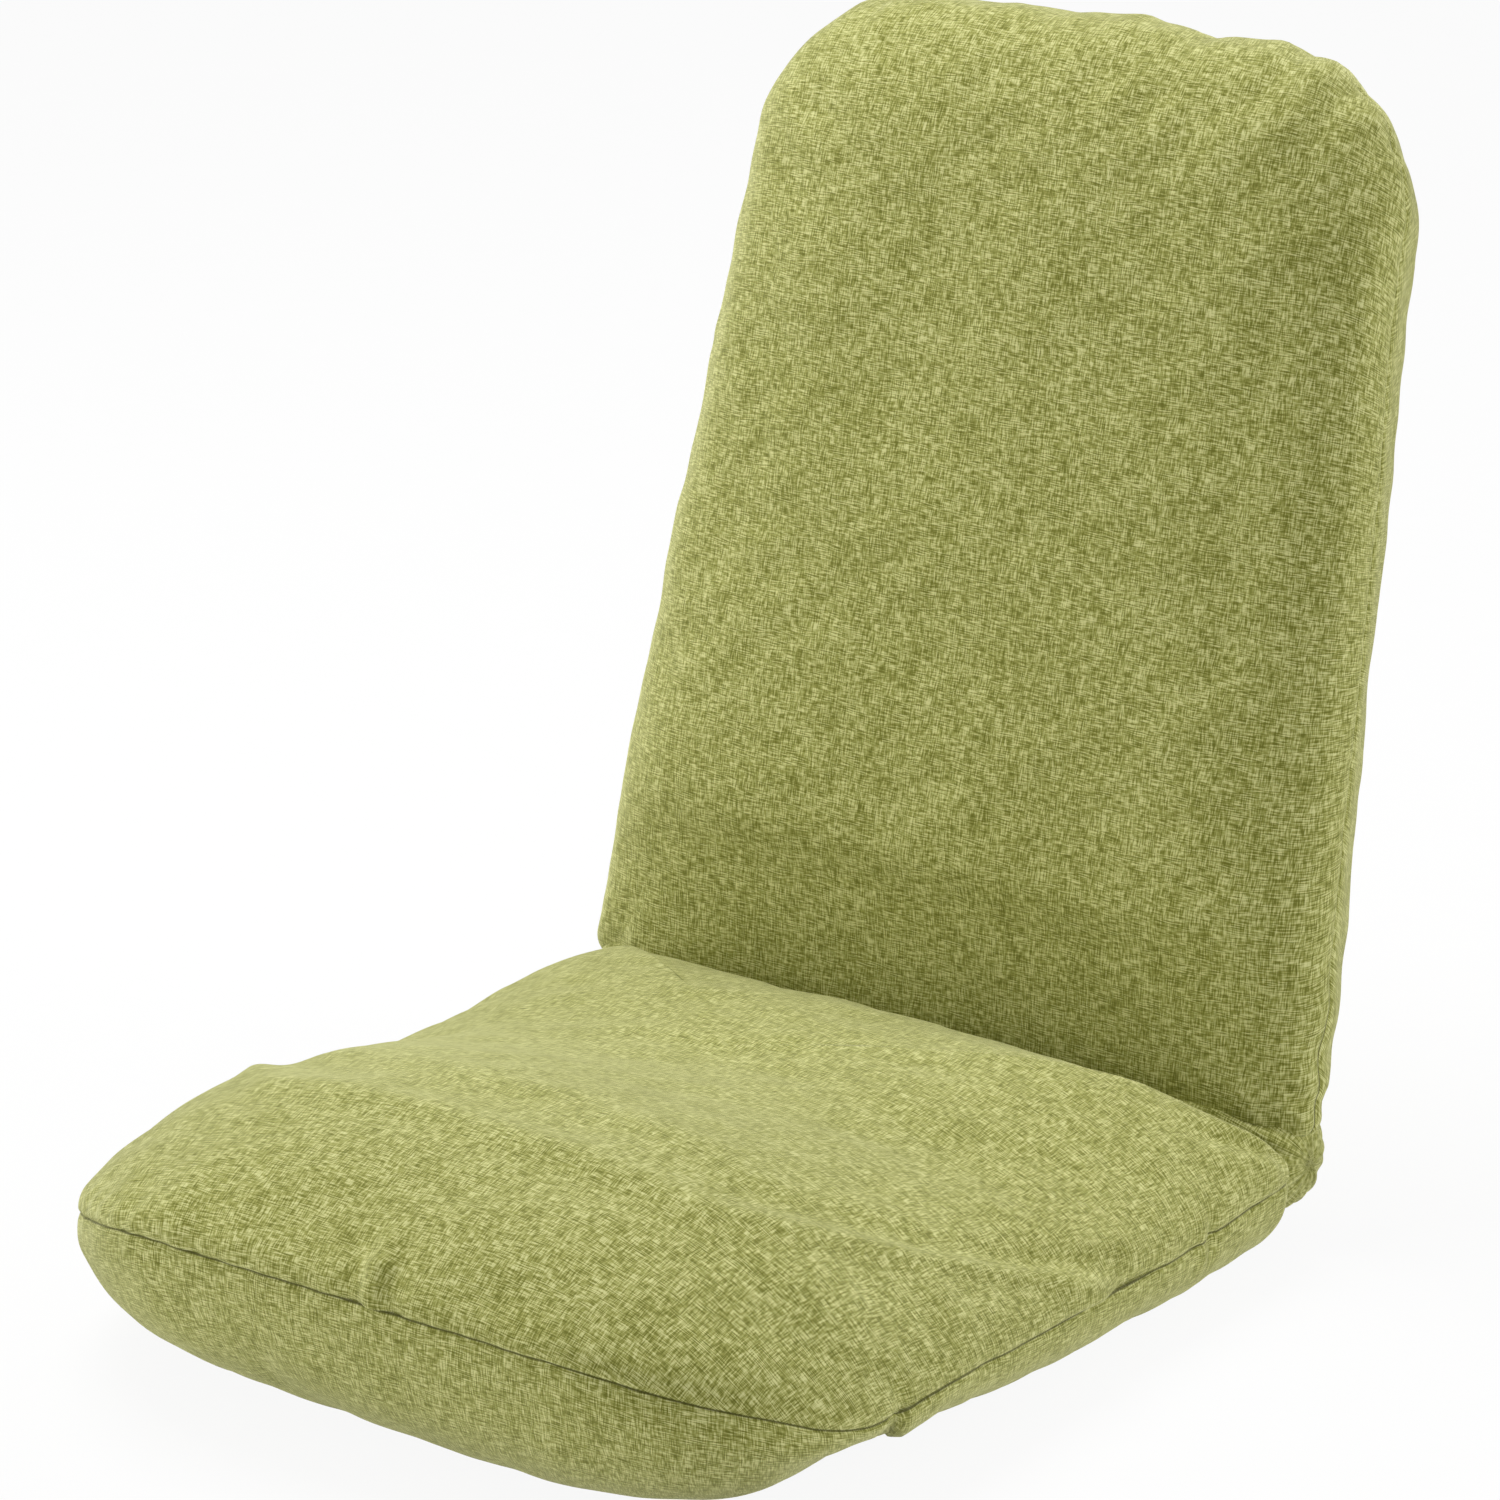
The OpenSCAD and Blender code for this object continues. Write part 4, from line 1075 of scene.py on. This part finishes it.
def cover_cloth():
    """The cover's cloth, made once"""
    looks = bpy.context.scene.floor_chair_looks
    return bpy.data.materials.get("cover_cloth") or cloth_material("cover_cloth", looks)


def steel():
    """Zinc-plated steel, made once"""
    return bpy.data.materials.get("zinc_plate") or steel_material()


class FLOORCHAIR_OT_seat_cushion(bpy.types.Operator):
    """Make the seat cushion in its cover"""

    bl_idname = "floorchair.seat_cushion"
    bl_label = "Seat cushion"

    def execute(self, context):
        sizes = context.scene.floor_chair_sizes
        cushion(seat_pad(sizes.around, sizes.rings), SEAT_BAND, True, seat_detail, "seat",
                ("seat_foam", "seat_base_foam", "seat_top_cover", "seat_base_cover"))
        return {"FINISHED"}


class FLOORCHAIR_OT_back_cushion(bpy.types.Operator):
    """Make the back cushion in its cover"""

    bl_idname = "floorchair.back_cushion"
    bl_label = "Back cushion"

    def execute(self, context):
        sizes = context.scene.floor_chair_sizes
        cushion(back_pad(sizes.around, sizes.rings), 0, False, back_detail, "back",
                ("back_foam", "back_rear_foam", "back_front_cover", "back_rear_cover"))
        return {"FINISHED"}


class FLOORCHAIR_OT_hinge_cover(bpy.types.Operator):
    """Make the gathered sleeve of cloth round the hinge"""

    bl_idname = "floorchair.hinge_cover"
    bl_label = "Hinge cover"

    def execute(self, context):
        piece = hinge_sleeve(72)
        subdivided(piece)
        sleeve_detail(piece)
        looks = context.scene.floor_chair_looks
        dressed(piece, cloth_material("hinge_cloth_weave", looks, seam_shaded=False))
        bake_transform(piece)
        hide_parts("hinge_cloth")
        return {"FINISHED"}


class FLOORCHAIR_OT_zip(bpy.types.Operator):
    """Make the zip across the back's rear, with its tapes, coil, slider and pull"""

    bl_idname = "floorchair.zip"
    bl_label = "Zip"

    def execute(self, context):
        looks = context.scene.floor_chair_looks
        left = SLIDER_START - ZIP_LONG / 2
        tape = zip_piece("zip_tape", tape_mesh(), tape_material(looks))
        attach(tape, "back")
        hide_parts("zip_chain")
        coil = zip_piece("zip_coil", coil_mesh(), coil_material(looks))
        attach(coil, "back")
        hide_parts("zip_chain")
        slider = zip_piece("zip_slider_body", slider_mesh(left), steel())
        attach(slider, "slider")
        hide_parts("zip_slider")
        pull = zip_piece("zip_pull", pull_mesh(left), steel())
        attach(pull, "slider")
        return {"FINISHED"}


class FLOORCHAIR_OT_inner_parts(bpy.types.Operator):
    """Finish the frame, hinges, slings and foam inside the cover"""

    bl_idname = "floorchair.inner_parts"
    bl_label = "Inner parts"

    def execute(self, context):
        looks = context.scene.floor_chair_looks
        tube, foam, sling = tube_material(), foam_material(), sling_material()
        tape = bpy.data.materials.get("zip_tape") or tape_material(looks)
        kinds = {"frame": tube, "bar": tube, "sling": sling, "foam": foam, "cover": cover_cloth(),
                 "cloth": cover_cloth(), "chain": tape}
        for name, node in frame["nodes"].items():
            finish = next((kinds[word] for word in kinds if name.endswith(word)), steel())
            if not node.material_slots:
                node.data.materials.append(finish)
            for material_slot in node.material_slots:
                material_slot.material = finish
        return {"FINISHED"}


class FLOORCHAIR_OT_stage(bpy.types.Operator):
    """Set the pale floor, the soft lamps and the camera"""

    bl_idname = "floorchair.stage"
    bl_label = "Stage"

    def execute(self, context):
        scene, stage = context.scene, context.scene.floor_chair_stage
        bm = bmesh.new()
        bmesh.ops.create_grid(bm, x_segments=8, y_segments=8, size=stage.floor / 2)
        floor = dressed(object_of("floor", bm), floor_material())

        scene.world = bpy.data.worlds.new("studio")
        w = Shader(scene.world, "Background")
        w.set(Color=(1, 1, 1, 1), Strength=w.seen() * (1 - stage.sky) + stage.sky)

        for name, (place, target, size) in LAMPS.items():
            lamp = bpy.data.lights.new(name, "AREA")
            lamp.shape, lamp.size, lamp.energy = "SQUARE", size, getattr(stage, name)
            aimed(name, lamp, place, target)

        lens = bpy.data.cameras.new("camera")
        lens.lens, lens.sensor_width = LENS, SENSOR
        lens.clip_start, lens.clip_end = 0.1, 50
        scene.camera = aimed("camera", lens, EYE, TARGET)
        scene.view_settings.view_transform = "Standard"
        return {"FINISHED"}


class FLOORCHAIR_PT_panel(bpy.types.Panel):
    """Makes the chair's pieces and its stage"""

    bl_idname = "FLOORCHAIR_PT_panel"
    bl_label = "Floor Chair"
    bl_space_type = "VIEW_3D"
    bl_region_type = "UI"
    bl_category = "Floor Chair"

    def draw(self, context):
        layout = self.layout
        for operator in OPERATORS:
            layout.operator(operator.bl_idname)
        for group in (context.scene.floor_chair_sizes, context.scene.floor_chair_looks,
                      context.scene.floor_chair_stage):
            box = layout.box()
            for key in group.bl_rna.properties.keys():
                if key not in ("rna_type", "name"):
                    box.prop(group, key)


OPERATORS = (FLOORCHAIR_OT_stage, FLOORCHAIR_OT_seat_cushion, FLOORCHAIR_OT_back_cushion,
             FLOORCHAIR_OT_hinge_cover, FLOORCHAIR_OT_zip, FLOORCHAIR_OT_inner_parts)
GROUPS = {"floor_chair_sizes": FloorChairSizes, "floor_chair_looks": FloorChairLooks,
          "floor_chair_stage": FloorChairStage}


def register():
    for group in GROUPS.values():
        bpy.utils.register_class(group)
    for name, group in GROUPS.items():
        setattr(bpy.types.Scene, name, PointerProperty(type=group))
    for made in (*OPERATORS, FLOORCHAIR_PT_panel):
        bpy.utils.register_class(made)


def unregister():
    for made in reversed((*OPERATORS, FLOORCHAIR_PT_panel)):
        bpy.utils.unregister_class(made)
    for name in GROUPS:
        delattr(bpy.types.Scene, name)
    for group in reversed(list(GROUPS.values())):
        bpy.utils.unregister_class(group)


def main():
    register()
    bpy.ops.floorchair.stage()
    bpy.ops.floorchair.seat_cushion()
    bpy.ops.floorchair.back_cushion()
    bpy.ops.floorchair.hinge_cover()
    bpy.ops.floorchair.zip()
    bpy.ops.floorchair.inner_parts()


if __name__ == "__main__":
    main()
